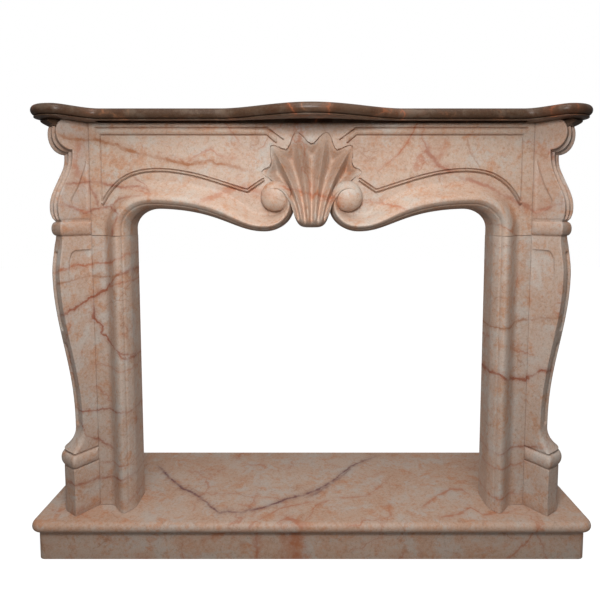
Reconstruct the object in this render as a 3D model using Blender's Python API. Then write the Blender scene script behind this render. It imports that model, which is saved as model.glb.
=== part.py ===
"""A carved marble mantel on its hearth, in the Louis XV manner.

Metres, +Z up. The wall is behind, at +Y, and the fire opening faces -Y. The origin is at the
bottom centre of the whole piece. Depths are measured forward from the wall, and widths from
the middle plane, so the left side is the right side mirrored.
"""
import math

import bmesh
import bpy
from mathutils import Vector

# The gap left at every joint between two stones
SEAM = 0.0003

# Heights of the courses, from the floor up
PLINTH_HEIGHT = 0.085
SLAB_THICKNESS = 0.030
JAMB_HEIGHT = 0.806
FRIEZE_HEIGHT = 0.318
SHELF_THICKNESS = 0.033

# Hearth
HEARTH_MARGIN = 0.166
SLAB_DEPTH = 0.439
SLAB_OVERHANG = 0.018
SLAB_CORNER_RADIUS = 0.035
PLINTH_CORNER_RADIUS = 0.018

# Fire surround
OPENING_WIDTH = 1.040
JAMB_WIDTH = 0.112
FACE_DEPTH = 0.339
STONE_THICKNESS = 0.067

# Roll moulding round the opening, measured from the opening's edge
ROLL_CREST = 0.025
ROLL_FALL = 0.055
ROLL_PROUD = 0.0457

# Arch under the frieze, heights above the foot of the frieze
ARCH_SPRING = 0.020
ARCH_CORNER_WIDTH = 0.068
ARCH_CROWN = 0.077
SCROLL_DROP_CENTRE = 0.136
SCROLL_DROP = 0.012
ARCH_OUTER_HANDLE = 0.19
ARCH_INNER_HANDLE = 0.09

# Scroll that ends the roll moulding
SCROLL_CENTRE = 0.112
SCROLL_CENTRE_RISE = 0.101
SCROLL_TIGHTENING = 0.25
SCROLL_TURN = math.radians(215)
SCROLL_BAND = 0.57
SCROLL_EYE_RADIUS = 0.031
SCROLL_EYE_PROUD = 0.046

# How many stations of the arch the plate behind it follows
PLATE_STATIONS = 30

# Shell, heights above the foot of the frieze
SHELL_FOOT_WIDTH = 0.102
SHELL_FOOT_RISE = 0.0235
SHELL_FOOT_ROUNDING = 0.030
SHELL_WAIST_WIDTH = 0.125
SHELL_WAIST_RISE = 0.119
SHELL_NOSE_PROUD = 0.062
SHELL_FLUTE_DEPTH = 0.024
SHELL_TIPS = ((0.044, 0.291), (0.115, 0.253), (0.142, 0.180), (0.0995, 0.143))
SHELL_SCALLOPS = (0.029, 0.028, 0.020, 0.004)

# Panels of the frieze
PANEL_GROOVE_WIDTH = 0.005
PANEL_GROOVE_DEPTH = 0.0035
PANEL_SIDE_MARGIN = 0.033
PANEL_TOP_MARGIN = 0.036
PANEL_BAND = 0.020
PANEL_LOWER_BAND = 0.009

# Angled consoles
CONSOLE_ANGLE = math.radians(54)
FOOT_THICKNESS = 0.060
FOOT_REACH = 0.0765
FOOT_BLOCK_HEIGHT = 0.139
FOOT_BEAD_HEIGHT = 0.041
FOOT_BEAD_PROUD = 0.006
FOOT_QUIRK = 0.003
FOOT_ARRIS = 0.006
FOOT_STEP = 0.002
LEG_THICKNESS = 0.042
ANKLE_HEIGHT = 0.253
ANKLE_REACH = 0.0465
CALF_DROP = 0.077
CALF_REACH = 0.0983
LEG_TOP_REACH = 0.0914
LEG_FLUTE_DEPTH = 0.005
LEG_FLUTE_TOP_DROP = 0.041
LEG_FLUTE_BREAK_DROP = 0.285
LEG_FLUTE_BREAK_HEIGHT = 0.034
FLUTE_END = 0.005
CORBEL_THICKNESS = 0.052
CORBEL_BEAD_HEIGHT = 0.040
CORBEL_BEAD_PROUD = 0.008
KNEE_HEIGHT = 0.080
KNEE_REACH = 0.0941
NECK_REACH = 0.0472
VOLUTE_CENTRE_REACH = 0.0485
VOLUTE_RADIUS = 0.0437
VOLUTE_CENTRE_DROP = 0.0345
CORBEL_FLUTE_DEPTH = 0.0055
CHEEK_SINK = 0.003
CHEEK_FADE = 0.0005
CHEEK_NEAR = 0.006
LEG_FIELD_MARGIN = 0.025
LEG_FIELD_CORNER = 0.018
LEG_FIELD_HEIGHT = 0.308
LEG_FIELD_SLOPE = 0.060
DROP_FOOT = 0.065
DROP_HEIGHT = 0.165
DROP_REACH = 0.060

# Plain slabs back to the wall
RETURN_THICKNESS = 0.030
RETURN_PROUD = 0.023

# Shelf
SHELF_DEPTH = 0.392
SHELF_BULGE = 0.089
SHELF_BULGE_HALF_WIDTH = 0.249
SHELF_EAR_INSET = 0.032
SHELF_EAR_RADIUS = 0.070
SHELF_EAR_OUTSET = 0.048
SHELF_EAR_DEPTH = 0.395
SHELF_SIDE_OUTSET = 0.063
SHELF_ROLL_RADIUS = 0.014
SHELF_FILLET_INSET = 0.010
DRIP_FRONT = 0.376
DRIP_BULGE = 0.037
DRIP_RISE = 0.012
EAR_COVE_HEIGHT = 0.030
EAR_COVE_REACH = 0.034

# Colours, linear, as red, green, blue
PALE_MARBLE = (0.46, 0.36, 0.28)
ROSE_MARBLE = (0.40, 0.28, 0.21)
SHELF_MARBLE = (0.30, 0.23, 0.17)
HEARTH_MARBLE = (0.36, 0.24, 0.18)

# Levels and planes worked out from the sizes above
SLAB_TOP = PLINTH_HEIGHT + SLAB_THICKNESS
FRIEZE_FOOT = SLAB_TOP + JAMB_HEIGHT
CALF_HEIGHT = JAMB_HEIGHT - CALF_DROP
LEG_FLUTE_TOP = JAMB_HEIGHT - LEG_FLUTE_TOP_DROP
LEG_FLUTE_BREAK = JAMB_HEIGHT - LEG_FLUTE_BREAK_DROP
FRIEZE_TOP = FRIEZE_FOOT + FRIEZE_HEIGHT
SHELF_TOP = FRIEZE_TOP + SHELF_THICKNESS
TOTAL_DEPTH = max(SHELF_DEPTH + SHELF_BULGE, SLAB_DEPTH)
WALL = TOTAL_DEPTH / 2
SEAM_X = OPENING_WIDTH / 2 + JAMB_WIDTH
HEARTH_WIDTH = 2 * (SEAM_X + HEARTH_MARGIN)
ROLL_WIDTH = ROLL_CREST + ROLL_FALL
SHELF_EAR_START = SEAM_X - SHELF_EAR_INSET
SHELF_SIDE = SEAM_X + SHELF_SIDE_OUTSET


def from_wall(depth):
    """The Y of a plane that lies this far forward from the wall."""
    return WALL - depth


FACE_Y = from_wall(FACE_DEPTH)
STONE_BACK_Y = from_wall(FACE_DEPTH - STONE_THICKNESS)


def ease(share):
    """A smooth rise from 0 to 1 with level ends."""
    return 0.5 - 0.5 * math.cos(math.pi * min(max(share, 0.0), 1.0))


def spread(low, high, count):
    """Evenly spaced values from low to high, both included."""
    return [low + (high - low) * step / (count - 1) for step in range(count)]


def clear_scene():
    """Remove whatever the scene holds."""
    for item in list(bpy.data.objects):
        bpy.data.objects.remove(item, do_unlink=True)


def make_marble(name, colour, roughness):
    """A polished stone."""
    material = bpy.data.materials.new(name)
    material.use_nodes = True
    shader = material.node_tree.nodes["Principled BSDF"]
    shader.inputs["Base Color"].default_value = (*colour, 1.0)
    shader.inputs["Roughness"].default_value = roughness
    shader.inputs["Metallic"].default_value = 0.0
    return material


def add_solid(name, points, faces, material, sharp=35):
    """Put a closed mesh into the scene, its faces turned outward and shaded smooth."""
    mesh = bpy.data.meshes.new(name)
    mesh.from_pydata([tuple(point) for point in points], [], faces)
    work = bmesh.new()
    work.from_mesh(mesh)
    bmesh.ops.recalc_face_normals(work, faces=work.faces)
    work.to_mesh(mesh)
    work.free()
    mesh.shade_smooth()
    mesh.set_sharp_from_angle(angle=math.radians(sharp))
    mesh.materials.append(material)
    solid = bpy.data.objects.new(name, mesh)
    bpy.context.collection.objects.link(solid)
    return solid


def loft(name, loops, material, sharp=35):
    """A solid through closed loops of equal length, with both ends closed."""
    size = len(loops[0])
    points = [point for loop in loops for point in loop]
    faces = [list(range(size))[::-1]]
    for row in range(len(loops) - 1):
        for column in range(size):
            following = (column + 1) % size
            low, high = row * size, (row + 1) * size
            faces.append([low + column, low + following, high + following, high + column])
    faces.append([(len(loops) - 1) * size + column for column in range(size)])
    return add_solid(name, points, faces, material, sharp)


def prism(name, outline, low, high, material, sharp=35):
    """A plan outline raised from one height to another."""
    loops = [[(x, y, height) for x, y in outline] for height in (low, high)]
    return loft(name, loops, material, sharp)


def combine(solid, tools, operation):
    """Join tools to a solid, or cut them out of it. The tools stay as hidden guides."""
    guides = bpy.data.collections.new(solid.name + " " + operation.lower())
    bpy.context.scene.collection.children.link(guides)
    for tool in tools:
        for holder in tool.users_collection:
            holder.objects.unlink(tool)
        guides.objects.link(tool)
        tool.hide_render = True
        tool.display_type = "WIRE"
    modifier = solid.modifiers.new(operation.lower(), "BOOLEAN")
    modifier.operation = operation
    modifier.solver = "EXACT"
    modifier.operand_type = "COLLECTION"
    modifier.collection = guides


def mirrored(outline):
    """The same plan outline on the other side of the middle plane."""
    return [(-x, y) for x, y in reversed(outline)]


# Hearth


def hearth_outline(half_width, depth, radius, inset):
    """A plan with its two front corners rounded and its back against the wall."""
    x = half_width - inset
    front = from_wall(depth - inset)
    turn = max(radius - inset, 0.002)
    right = [(x, WALL)]
    for angle in spread(0, math.pi / 2, 7):
        right.append((x - turn + turn * math.cos(angle), front + turn - turn * math.sin(angle)))
    return right + mirrored(right)


def build_hearth(marble):
    """The plinth block, and the bullnosed slab on it."""
    half_width = HEARTH_WIDTH / 2
    plinth = hearth_outline(half_width - SLAB_OVERHANG, SLAB_DEPTH - SLAB_OVERHANG,
                            PLINTH_CORNER_RADIUS, 0)
    prism("hearth_plinth", plinth, 0, PLINTH_HEIGHT - SEAM, marble)
    radius = SLAB_THICKNESS / 2
    loops = []
    for angle in spread(-math.pi / 2, math.pi / 2, 9):
        inset = radius - radius * math.cos(angle)
        height = PLINTH_HEIGHT + radius + radius * math.sin(angle)
        outline = hearth_outline(half_width, SLAB_DEPTH, SLAB_CORNER_RADIUS, inset)
        loops.append([(x, y, height) for x, y in outline])
    loft("hearth_slab", loops, marble)


# Jambs and arch moulding


def roll_profile(scale=1.0, rise=1.0):
    """Points across the roll moulding: distance from the opening's edge, and how far proud.

    The inner side is a quarter ellipse up to the crest, and the outer side falls away in an
    ogee to the face.
    """
    points = []
    for angle in spread(0.25, math.pi / 2, 5):
        points.append((ROLL_CREST * (1 - math.cos(angle)) * scale,
                       ROLL_PROUD * math.sin(angle) * rise))
    for share in spread(0, 1, 8)[1:-1]:
        points.append(((ROLL_CREST + ROLL_FALL * share) * scale,
                       ROLL_PROUD * math.cos(math.pi / 2 * share) ** 2 * rise))
    return points


def build_jamb(side, name, marble):
    """The upright facing beside the opening."""
    edge = OPENING_WIDTH / 2
    outline = [(edge, STONE_BACK_Y), (edge, FACE_Y)]
    outline += [(edge + across, FACE_Y - proud) for across, proud in roll_profile()]
    outline += [(edge + ROLL_WIDTH, FACE_Y), (SEAM_X - SEAM / 2, FACE_Y),
                (SEAM_X - SEAM / 2, STONE_BACK_Y)]
    if side < 0:
        outline = mirrored(outline)
    prism(name, outline, SLAB_TOP + SEAM, FRIEZE_FOOT - SEAM / 2, marble)


def scroll_radius(turn):
    """The scroll's outer radius shrinks evenly in proportion as it turns."""
    drop_x = SCROLL_DROP_CENTRE - SCROLL_CENTRE
    drop_z = SCROLL_CENTRE_RISE - SCROLL_DROP
    return math.hypot(drop_x, drop_z) * math.exp(-SCROLL_TIGHTENING * turn)


def arch_stations():
    """Points along the opening's edge, for the right side: x, z, outward normal and band scale.

    Up the jamb, round a quarter ellipse, down an S curve to the bottom of the scroll, and round
    the scroll.
    """
    edge = OPENING_WIDTH / 2
    foot = FRIEZE_FOOT + SEAM / 2
    spring = FRIEZE_FOOT + ARCH_SPRING
    crown = FRIEZE_FOOT + ARCH_CROWN
    points = [(edge, foot, 1.0)]
    for angle in spread(0, math.pi / 2, 7):
        points.append((edge - ARCH_CORNER_WIDTH * (1 - math.cos(angle)),
                       spring + (crown - spring) * math.sin(angle), 1.0))
    start = (edge - ARCH_CORNER_WIDTH, crown)
    end = (SCROLL_DROP_CENTRE, FRIEZE_FOOT + SCROLL_DROP)
    end_scale = SCROLL_BAND * scroll_radius(0) / ROLL_WIDTH
    controls = (start, (start[0] - ARCH_OUTER_HANDLE, start[1]), (end[0] + ARCH_INNER_HANDLE, end[1]), end)
    for share in spread(0, 1, 13)[1:]:
        weights = ((1 - share) ** 3, 3 * share * (1 - share) ** 2, 3 * share ** 2 * (1 - share), share ** 3)
        x = sum(weight * point[0] for weight, point in zip(weights, controls))
        z = sum(weight * point[1] for weight, point in zip(weights, controls))
        points.append((x, z, 1.0 + (end_scale - 1.0) * ease((share - 0.3) / 0.7)))
    first_angle = math.atan2(SCROLL_DROP_CENTRE - SCROLL_CENTRE, SCROLL_CENTRE_RISE - SCROLL_DROP)
    for turn in spread(0, SCROLL_TURN, 15)[1:]:
        radius = scroll_radius(turn)
        angle = first_angle - turn
        points.append((SCROLL_CENTRE + radius * math.sin(angle),
                       FRIEZE_FOOT + SCROLL_CENTRE_RISE - radius * math.cos(angle),
                       SCROLL_BAND * radius / ROLL_WIDTH))
    stations = []
    for index, (x, z, scale) in enumerate(points):
        before = points[max(index - 1, 0)]
        after = points[min(index + 1, len(points) - 1)]
        along = Vector((after[0] - before[0], after[1] - before[1])).normalized()
        if index == 0:
            along = Vector((0.0, 1.0))
        stations.append((x, z, Vector((along.y, -along.x)), scale))
    return stations


def band_height(scale):
    """The band stays almost as proud where it narrows."""
    return min(1.0, 0.55 + 0.45 * scale / 0.6)


def build_arch_moulding(side, marble):
    """The roll moulding carried from the jamb, along the arch and round the scroll."""
    back = STONE_BACK_Y - 0.002
    loops = []
    for x, z, normal, scale in arch_stations():
        section = [(0.0, back), (0.0, FACE_Y)]
        section += [(across, FACE_Y - proud) for across, proud in roll_profile(scale, band_height(scale))]
        section += [(ROLL_WIDTH * scale, FACE_Y + 0.002), (ROLL_WIDTH * scale, back)]
        loops.append([(side * (x + normal.x * across), y, z + normal.y * across)
                      for across, y in section])
    return loft("arch moulding guide", loops, marble)


def build_scroll_eye(side, marble):
    """The round knob in the middle of the scroll: a drum with a domed front."""
    back = STONE_BACK_Y - 0.003
    centre_z = FRIEZE_FOOT + SCROLL_CENTRE_RISE + 0.004
    shoulder = FACE_Y - 0.3 * SCROLL_EYE_PROUD
    rings = [(SCROLL_EYE_RADIUS * 0.9, back), (SCROLL_EYE_RADIUS * 0.9, FACE_Y)]
    for angle in spread(0, math.pi / 2 - 0.25, 5):
        rings.append((SCROLL_EYE_RADIUS * math.cos(angle),
                      shoulder - 0.7 * SCROLL_EYE_PROUD * math.sin(angle)))
    loops = []
    for radius, y in rings:
        loops.append([(side * (SCROLL_CENTRE + radius * math.cos(turn)), y,
                       centre_z + radius * math.sin(turn))
                      for turn in spread(0, 2 * math.pi, 15)[:-1]])
    return loft("scroll eye guide", loops, marble)


# Shell


def shell_tip(index):
    """A tip of the rim, counted outward from the middle, on the right side."""
    x, rise = SHELL_TIPS[index]
    return Vector((x, FRIEZE_FOOT + rise))


def shell_rim(place):
    """A point of the scalloped rim. The place counts flutes from the middle, 0 to 3."""
    marks = (-0.5, 0.5, 1.5, 2.5, 3.0)
    first = shell_tip(0)
    tips = [Vector((-first.x, first.y))] + [shell_tip(index) for index in range(4)]
    gap = 0
    while gap < 3 and place > marks[gap + 1]:
        gap += 1
    share = (place - marks[gap]) / (marks[gap + 1] - marks[gap])
    point = tips[gap].lerp(tips[gap + 1], share)
    heart = Vector((0.0, FRIEZE_FOOT + SHELL_FOOT_RISE + 0.04))
    pull = (heart - point).normalized() * SHELL_SCALLOPS[gap] * math.sin(math.pi * share) ** 2
    return point + pull


def shell_point(place, rise):
    """A point of the shell in the frieze's plane: ribs start side by side and bend outward."""
    side = 1 if place >= 0 else -1
    place = abs(place)
    share = place / 3
    foot = Vector((SHELL_FOOT_WIDTH / 2 * share * (1 - 0.08 * share ** 4),
                   FRIEZE_FOOT + SHELL_FOOT_RISE + SHELL_FOOT_ROUNDING * share ** 4))
    waist = Vector((SHELL_WAIST_WIDTH / 2 * share, FRIEZE_FOOT + SHELL_WAIST_RISE))
    point = foot * (1 - rise) ** 2 + waist * 2 * rise * (1 - rise) + shell_rim(place) * rise ** 2
    return side * point.x, point.y


def shell_proud(place, rise):
    """How far the shell stands out: a rounded nose at its foot, hollow flutes at its rim."""
    nose = 0.14
    if rise < nose:
        rib = SHELL_NOSE_PROUD * math.sqrt(1 - (1 - rise / nose) ** 2)
    else:
        rib = 0.002 + (SHELL_NOSE_PROUD - 0.002) * (1 - ease((rise - nose) / (1 - nose)))
    flute = 0.5 + 0.5 * math.cos(2 * math.pi * place)
    if abs(place) > 2.5:
        flute *= 0.3
    depth = SHELL_FLUTE_DEPTH * (0.2 + 0.8 * rise)
    return rib - depth * flute * min(1.0, rise / nose)


SHELL_PLACES = spread(-3, 3, 37)


def build_shell(marble):
    """The fan of flutes, as a solid that reaches a little way into the frieze round its rim."""
    rises = (0.0, 0.03, 0.08, 0.14, 0.24, 0.36, 0.5, 0.65, 0.8, 0.91, 1.0)
    back = STONE_BACK_Y - 0.004
    points = []
    for rise in rises:
        for place in SHELL_PLACES:
            x, z = shell_point(place, rise)
            points.append((x, FACE_Y - shell_proud(place, rise), z))
    heart = Vector((0.0, FRIEZE_FOOT + SHELL_WAIST_RISE))
    for place in SHELL_PLACES:
        rim = Vector(shell_point(place, 1.0))
        outer = rim + (rim - heart).normalized() * 0.004
        points.append((outer.x, FACE_Y + SHELL_FLUTE_DEPTH + 0.004, outer.y))
    rows = len(rises) + 1
    columns = len(SHELL_PLACES)
    faces = []
    for row in range(rows - 1):
        for column in range(columns - 1):
            corner = row * columns + column
            faces.append([corner, corner + 1, corner + columns + 1, corner + columns])
    border = list(range(columns))
    border += [row * columns + columns - 1 for row in range(1, rows)]
    border += [(rows - 1) * columns + column for column in range(columns - 2, -1, -1)]
    border += [row * columns for row in range(rows - 2, 0, -1)]
    start = len(points)
    points += [(points[index][0], back, points[index][2]) for index in border]
    count = len(border)
    for step in range(count):
        following = (step + 1) % count
        faces.append([border[step], border[following], start + following, start + step])
    faces.append([start + step for step in range(count)])
    return add_solid("shell guide", points, faces, marble, sharp=50)


# Frieze


def frieze_half_outline():
    """The plate's right half in the frieze's plane, from its top corner to the shell's middle.

    Its lower edge runs under the crest of the roll moulding, and then round the shell's rim.
    """
    outline = [(SEAM_X - SEAM / 2, FRIEZE_TOP - SEAM / 2), (SEAM_X - SEAM / 2, FRIEZE_FOOT + SEAM / 2)]
    crest = [Vector((x, z)) + normal * ROLL_CREST * scale for x, z, normal, scale in arch_stations()]
    outline.append((crest[0].x, crest[0].y))
    for before, after in zip(crest[:PLATE_STATIONS], crest[1:PLATE_STATIONS + 1]):
        halfway = before.lerp(after, 0.5)
        outline.append((halfway.x, halfway.y))
    for place in reversed([place for place in SHELL_PLACES if place >= 0]):
        outline.append(shell_point(place, 1.0))
    return outline


def groove(name, path, width, depth, marble):
    """A thin cutter along a path on the frieze's face."""
    loops = []
    for index, point in enumerate(path):
        here = Vector(point)
        before = Vector(path[max(index - 1, 0)])
        after = Vector(path[min(index + 1, len(path) - 1)])
        first = (here - before).normalized() if index else (after - here).normalized()
        second = (after - here).normalized() if index < len(path) - 1 else first
        along = (first + second).normalized()
        stretch = 1.0 / max(along.dot(first), 0.4)
        across = Vector((along.y, -along.x)) * width / 2 * stretch
        low, high = here - across, here + across
        loops.append([(low.x, FACE_Y - 0.002, low.y), (high.x, FACE_Y - 0.002, high.y),
                      (high.x, FACE_Y + depth, high.y), (low.x, FACE_Y + depth, low.y)])
    return loft(name, loops, marble)


def panel_lower_edge(drop):
    """The lower edge of a panel, which keeps its distance from the arch, as x and z."""
    edge = OPENING_WIDTH / 2
    stone_edge = SEAM_X - PANEL_SIDE_MARGIN
    foot = FRIEZE_FOOT
    crown = foot + ARCH_CROWN + 0.1175
    knots = [(stone_edge, foot + 0.099), (edge + 0.043, foot + 0.146), (edge + 0.011, foot + 0.1745),
             (edge - 0.030, foot + 0.190), (edge - 0.082, crown), (edge - 0.134, foot + 0.190),
             (edge - 0.187, foot + 0.177), (edge - 0.244, foot + 0.1565), (edge - 0.296, foot + 0.138),
             (edge - 0.335, foot + 0.1235)]
    return [(x, z - drop) for x, z in knots]


def build_frieze(marble):
    """The carved stone over the opening."""
    right = frieze_half_outline()
    left = [(-x, z) for x, z in reversed(right[:-1])]
    outline = right + left
    loops = [[(x, y, z) for x, z in outline] for y in (FACE_Y, STONE_BACK_Y)]
    plate = loft("frieze", loops, marble)
    carving = [build_shell(marble)]
    for side in (1, -1):
        carving += [build_arch_moulding(side, marble), build_scroll_eye(side, marble)]
    combine(plate, carving, "UNION")
    top = FRIEZE_TOP - PANEL_TOP_MARGIN
    shell_side = shell_tip(1).x
    outer_top = top + PANEL_BAND
    inner_x = SEAM_X - PANEL_SIDE_MARGIN
    inner = [(shell_side - 0.012, top - 0.021), (shell_side + 0.013, top), (inner_x, top)]
    inner += panel_lower_edge(0)
    notch = inner[-1]
    inner.append((shell_tip(2).x - 0.004, notch[1] + 0.036))
    outer = [(shell_side - 0.034, outer_top - 0.032), (shell_side + 0.011, outer_top),
             (inner_x + 0.013, outer_top)]
    lower = panel_lower_edge(PANEL_LOWER_BAND)
    lower[-1] = (lower[-1][0] - 0.002, lower[-1][1])
    cuts = []
    for side in (1, -1):
        for name, path in (("panel groove guide", inner), ("frame groove guide", outer),
                           ("lower groove guide", lower)):
            placed = [(side * x, z) for x, z in path]
            cuts.append(groove(name, placed, PANEL_GROOVE_WIDTH, PANEL_GROOVE_DEPTH, marble))
    combine(plate, cuts, "DIFFERENCE")


# Consoles


def console_point(side, along, across):
    """A plan point of a console: along its cheek from the seam, and across its thickness."""
    x = SEAM_X + SEAM / 2 + math.cos(CONSOLE_ANGLE) * along + math.sin(CONSOLE_ANGLE) * across
    y = FACE_Y - math.sin(CONSOLE_ANGLE) * along + math.cos(CONSOLE_ANGLE) * across
    return side * x, y


TWO_FLUTES = ((0.07, 0), (0.15, 0.75), (0.26, 1), (0.37, 0.75), (0.46, 0), (0.54, 0), (0.63, 0.75),
              (0.74, 1), (0.85, 0.75), (0.93, 0))
ONE_FLUTE = ((0.05, 0), (0.14, 0), (0.18, 0.8), (0.26, 1), (0.42, 1), (0.58, 1), (0.74, 1), (0.82, 0.8),
             (0.86, 0), (0.95, 0))


def console_section(side, height, reach, thickness, swell=0.0, flare=0.0, depth=0.0, flutes=TWO_FLUTES):
    """A closed plan loop of a console at one height."""
    seam_x = side * (SEAM_X + SEAM / 2)
    outer = SEAM_X + RETURN_PROUD
    far = thickness + swell + 0.25 * flare
    slant = math.sin(CONSOLE_ANGLE) / math.cos(CONSOLE_ANGLE)
    loop = [(seam_x, console_point(1, swell * slant, -swell)[1])]
    loop.append(console_point(side, reach + swell, -swell))
    for share, sink in flutes:
        across = -swell + (far + swell) * share
        loop.append(console_point(side, reach + swell + flare - sink * depth, across))
    loop.append(console_point(side, reach + swell + flare, far))
    along_x = (outer - SEAM_X - math.sin(CONSOLE_ANGLE) * far) / math.cos(CONSOLE_ANGLE)
    along_y = (FACE_Y + math.cos(CONSOLE_ANGLE) * far - STONE_BACK_Y + 0.010) / math.sin(CONSOLE_ANGLE)
    heel = console_point(side, max(along_x, along_y), far)
    loop.append(heel)
    loop.append((heel[0], STONE_BACK_Y))
    loop.append((seam_x, STONE_BACK_Y))
    return [(x, y, height) for x, y in loop]


def leg_reach(rise):
    """The leg's outline: from the ankle out to the calf, and a little back at the top."""
    if rise <= CALF_HEIGHT:
        share = ease((rise - ANKLE_HEIGHT) / (CALF_HEIGHT - ANKLE_HEIGHT))
        return ANKLE_REACH + (CALF_REACH - ANKLE_REACH) * share
    share = ease((rise - CALF_HEIGHT) / (JAMB_HEIGHT - CALF_HEIGHT))
    return CALF_REACH + (LEG_TOP_REACH - CALF_REACH) * share


def leg_sections(side):
    """The foot block, its bead, the flared ankle and the fluted leg, bottom to top."""
    bead_top = FOOT_BLOCK_HEIGHT + FOOT_BEAD_HEIGHT
    sections = []

    def add(rise, reach, thickness, swell=0.0, depth=0.0):
        sections.append(console_section(side, SLAB_TOP + rise, reach, thickness, swell, 0.0, depth,
                                        ONE_FLUTE))

    add(SEAM, FOOT_REACH, FOOT_THICKNESS)
    add(FOOT_BLOCK_HEIGHT - FOOT_ARRIS, FOOT_REACH, FOOT_THICKNESS)
    add(FOOT_BLOCK_HEIGHT, FOOT_REACH, FOOT_THICKNESS, -FOOT_QUIRK)
    for angle in spread(0, math.pi, 6):
        rise = FOOT_BLOCK_HEIGHT + FOOT_BEAD_HEIGHT * ease(angle / math.pi) + FOOT_STEP / 2
        add(rise, FOOT_REACH, FOOT_THICKNESS, FOOT_BEAD_PROUD * math.sin(angle))
    flare_reach = FOOT_REACH - FOOT_STEP
    flare_foot = bead_top + FOOT_ARRIS
    add(bead_top + FOOT_STEP, flare_reach, FOOT_THICKNESS, -FOOT_QUIRK)
    for share in spread(0, 1, 6):
        fade = (1 - share) ** 2
        add(flare_foot + (ANKLE_HEIGHT - flare_foot) * share,
            ANKLE_REACH + (flare_reach - ANKLE_REACH) * fade,
            LEG_THICKNESS + (FOOT_THICKNESS - LEG_THICKNESS) * fade)
    break_low = LEG_FLUTE_BREAK - LEG_FLUTE_BREAK_HEIGHT / 2
    break_high = LEG_FLUTE_BREAK + LEG_FLUTE_BREAK_HEIGHT / 2
    for low, high in ((ANKLE_HEIGHT, break_low), (break_high, LEG_FLUTE_TOP)):
        for rise in spread(low + FLUTE_END, high - FLUTE_END, 5):
            add(rise, leg_reach(rise), LEG_THICKNESS, 0.0, LEG_FLUTE_DEPTH)
        add(high, leg_reach(high), LEG_THICKNESS)
        if high == break_low:
            add(break_high, leg_reach(break_high), LEG_THICKNESS)
    for rise in spread(LEG_FLUTE_TOP, JAMB_HEIGHT - SEAM / 2, 3)[1:]:
        add(rise, leg_reach(rise), LEG_THICKNESS)
    return sections


def corbel_sections(side):
    """The bead, the knee, the neck and the volute, bottom to top."""
    sections = []
    top = FRIEZE_HEIGHT - SEAM / 2
    centre = FRIEZE_HEIGHT - VOLUTE_CENTRE_DROP
    reach_out = NECK_REACH - VOLUTE_CENTRE_REACH
    corner_angle = math.acos(max(min(reach_out / VOLUTE_RADIUS, 1.0), -1.0))
    neck_top = centre - VOLUTE_RADIUS * math.sin(corner_angle)
    cove_foot = top - EAR_COVE_HEIGHT

    def add(rise, reach, swell=0.0, depth=0.0):
        flare = 0.0
        if rise > cove_foot:
            flare = EAR_COVE_REACH * math.sin(math.pi / 2 * (rise - cove_foot) / EAR_COVE_HEIGHT)
            depth = depth * max(0.0, 1 - 4 * flare / EAR_COVE_REACH)
        sections.append(console_section(side, FRIEZE_FOOT + rise, reach, CORBEL_THICKNESS, swell,
                                        flare, depth))

    bead_reach = LEG_TOP_REACH - 0.004
    add(SEAM / 2, bead_reach, -0.002)
    for angle in spread(0, math.pi, 7):
        rise = SEAM / 2 + 0.002 + (CORBEL_BEAD_HEIGHT - 0.002) * (0.5 - 0.5 * math.cos(angle))
        add(rise, bead_reach, CORBEL_BEAD_PROUD * math.sin(angle) - 0.002)
    add(CORBEL_BEAD_HEIGHT + 0.003, bead_reach, -0.002)
    for share in spread(0, 1, 4):
        rise = CORBEL_BEAD_HEIGHT + 0.005 + (KNEE_HEIGHT - CORBEL_BEAD_HEIGHT - 0.005) * share
        add(rise, bead_reach + (KNEE_REACH - bead_reach) * ease(0.5 + 0.5 * share),
            0.0, CORBEL_FLUTE_DEPTH)
    for share in spread(0, 1, 8)[1:-1]:
        rise = KNEE_HEIGHT + (neck_top - 0.002 - KNEE_HEIGHT) * share
        add(rise, NECK_REACH + (KNEE_REACH - NECK_REACH) * ease(1 - share) ** 1.3,
            0.0, CORBEL_FLUTE_DEPTH)
    add(neck_top - 0.001, NECK_REACH, 0.0, CORBEL_FLUTE_DEPTH)
    last = math.asin(min((top - centre) / VOLUTE_RADIUS, 0.98))
    for angle in spread(-corner_angle + 0.12, last, 11):
        rise = min(centre + VOLUTE_RADIUS * math.sin(angle), top)
        add(rise, VOLUTE_CENTRE_REACH + VOLUTE_RADIUS * math.cos(angle), 0.0, CORBEL_FLUTE_DEPTH)
    return sections


def sink_cheek(side, solid, name, outline, marble):
    """Sink a flat field into a console's cheek. The outline gives reach, height and depth."""
    loops = []
    for share in (-1, 1):
        loop = []
        for along, height, sink in outline:
            x, y = console_point(side, along, CHEEK_SINK * share if share < 0 else sink)
            loop.append((x, y, height))
        loops.append(loop)
    combine(solid, [loft(name, loops, marble)], "DIFFERENCE")


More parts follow.
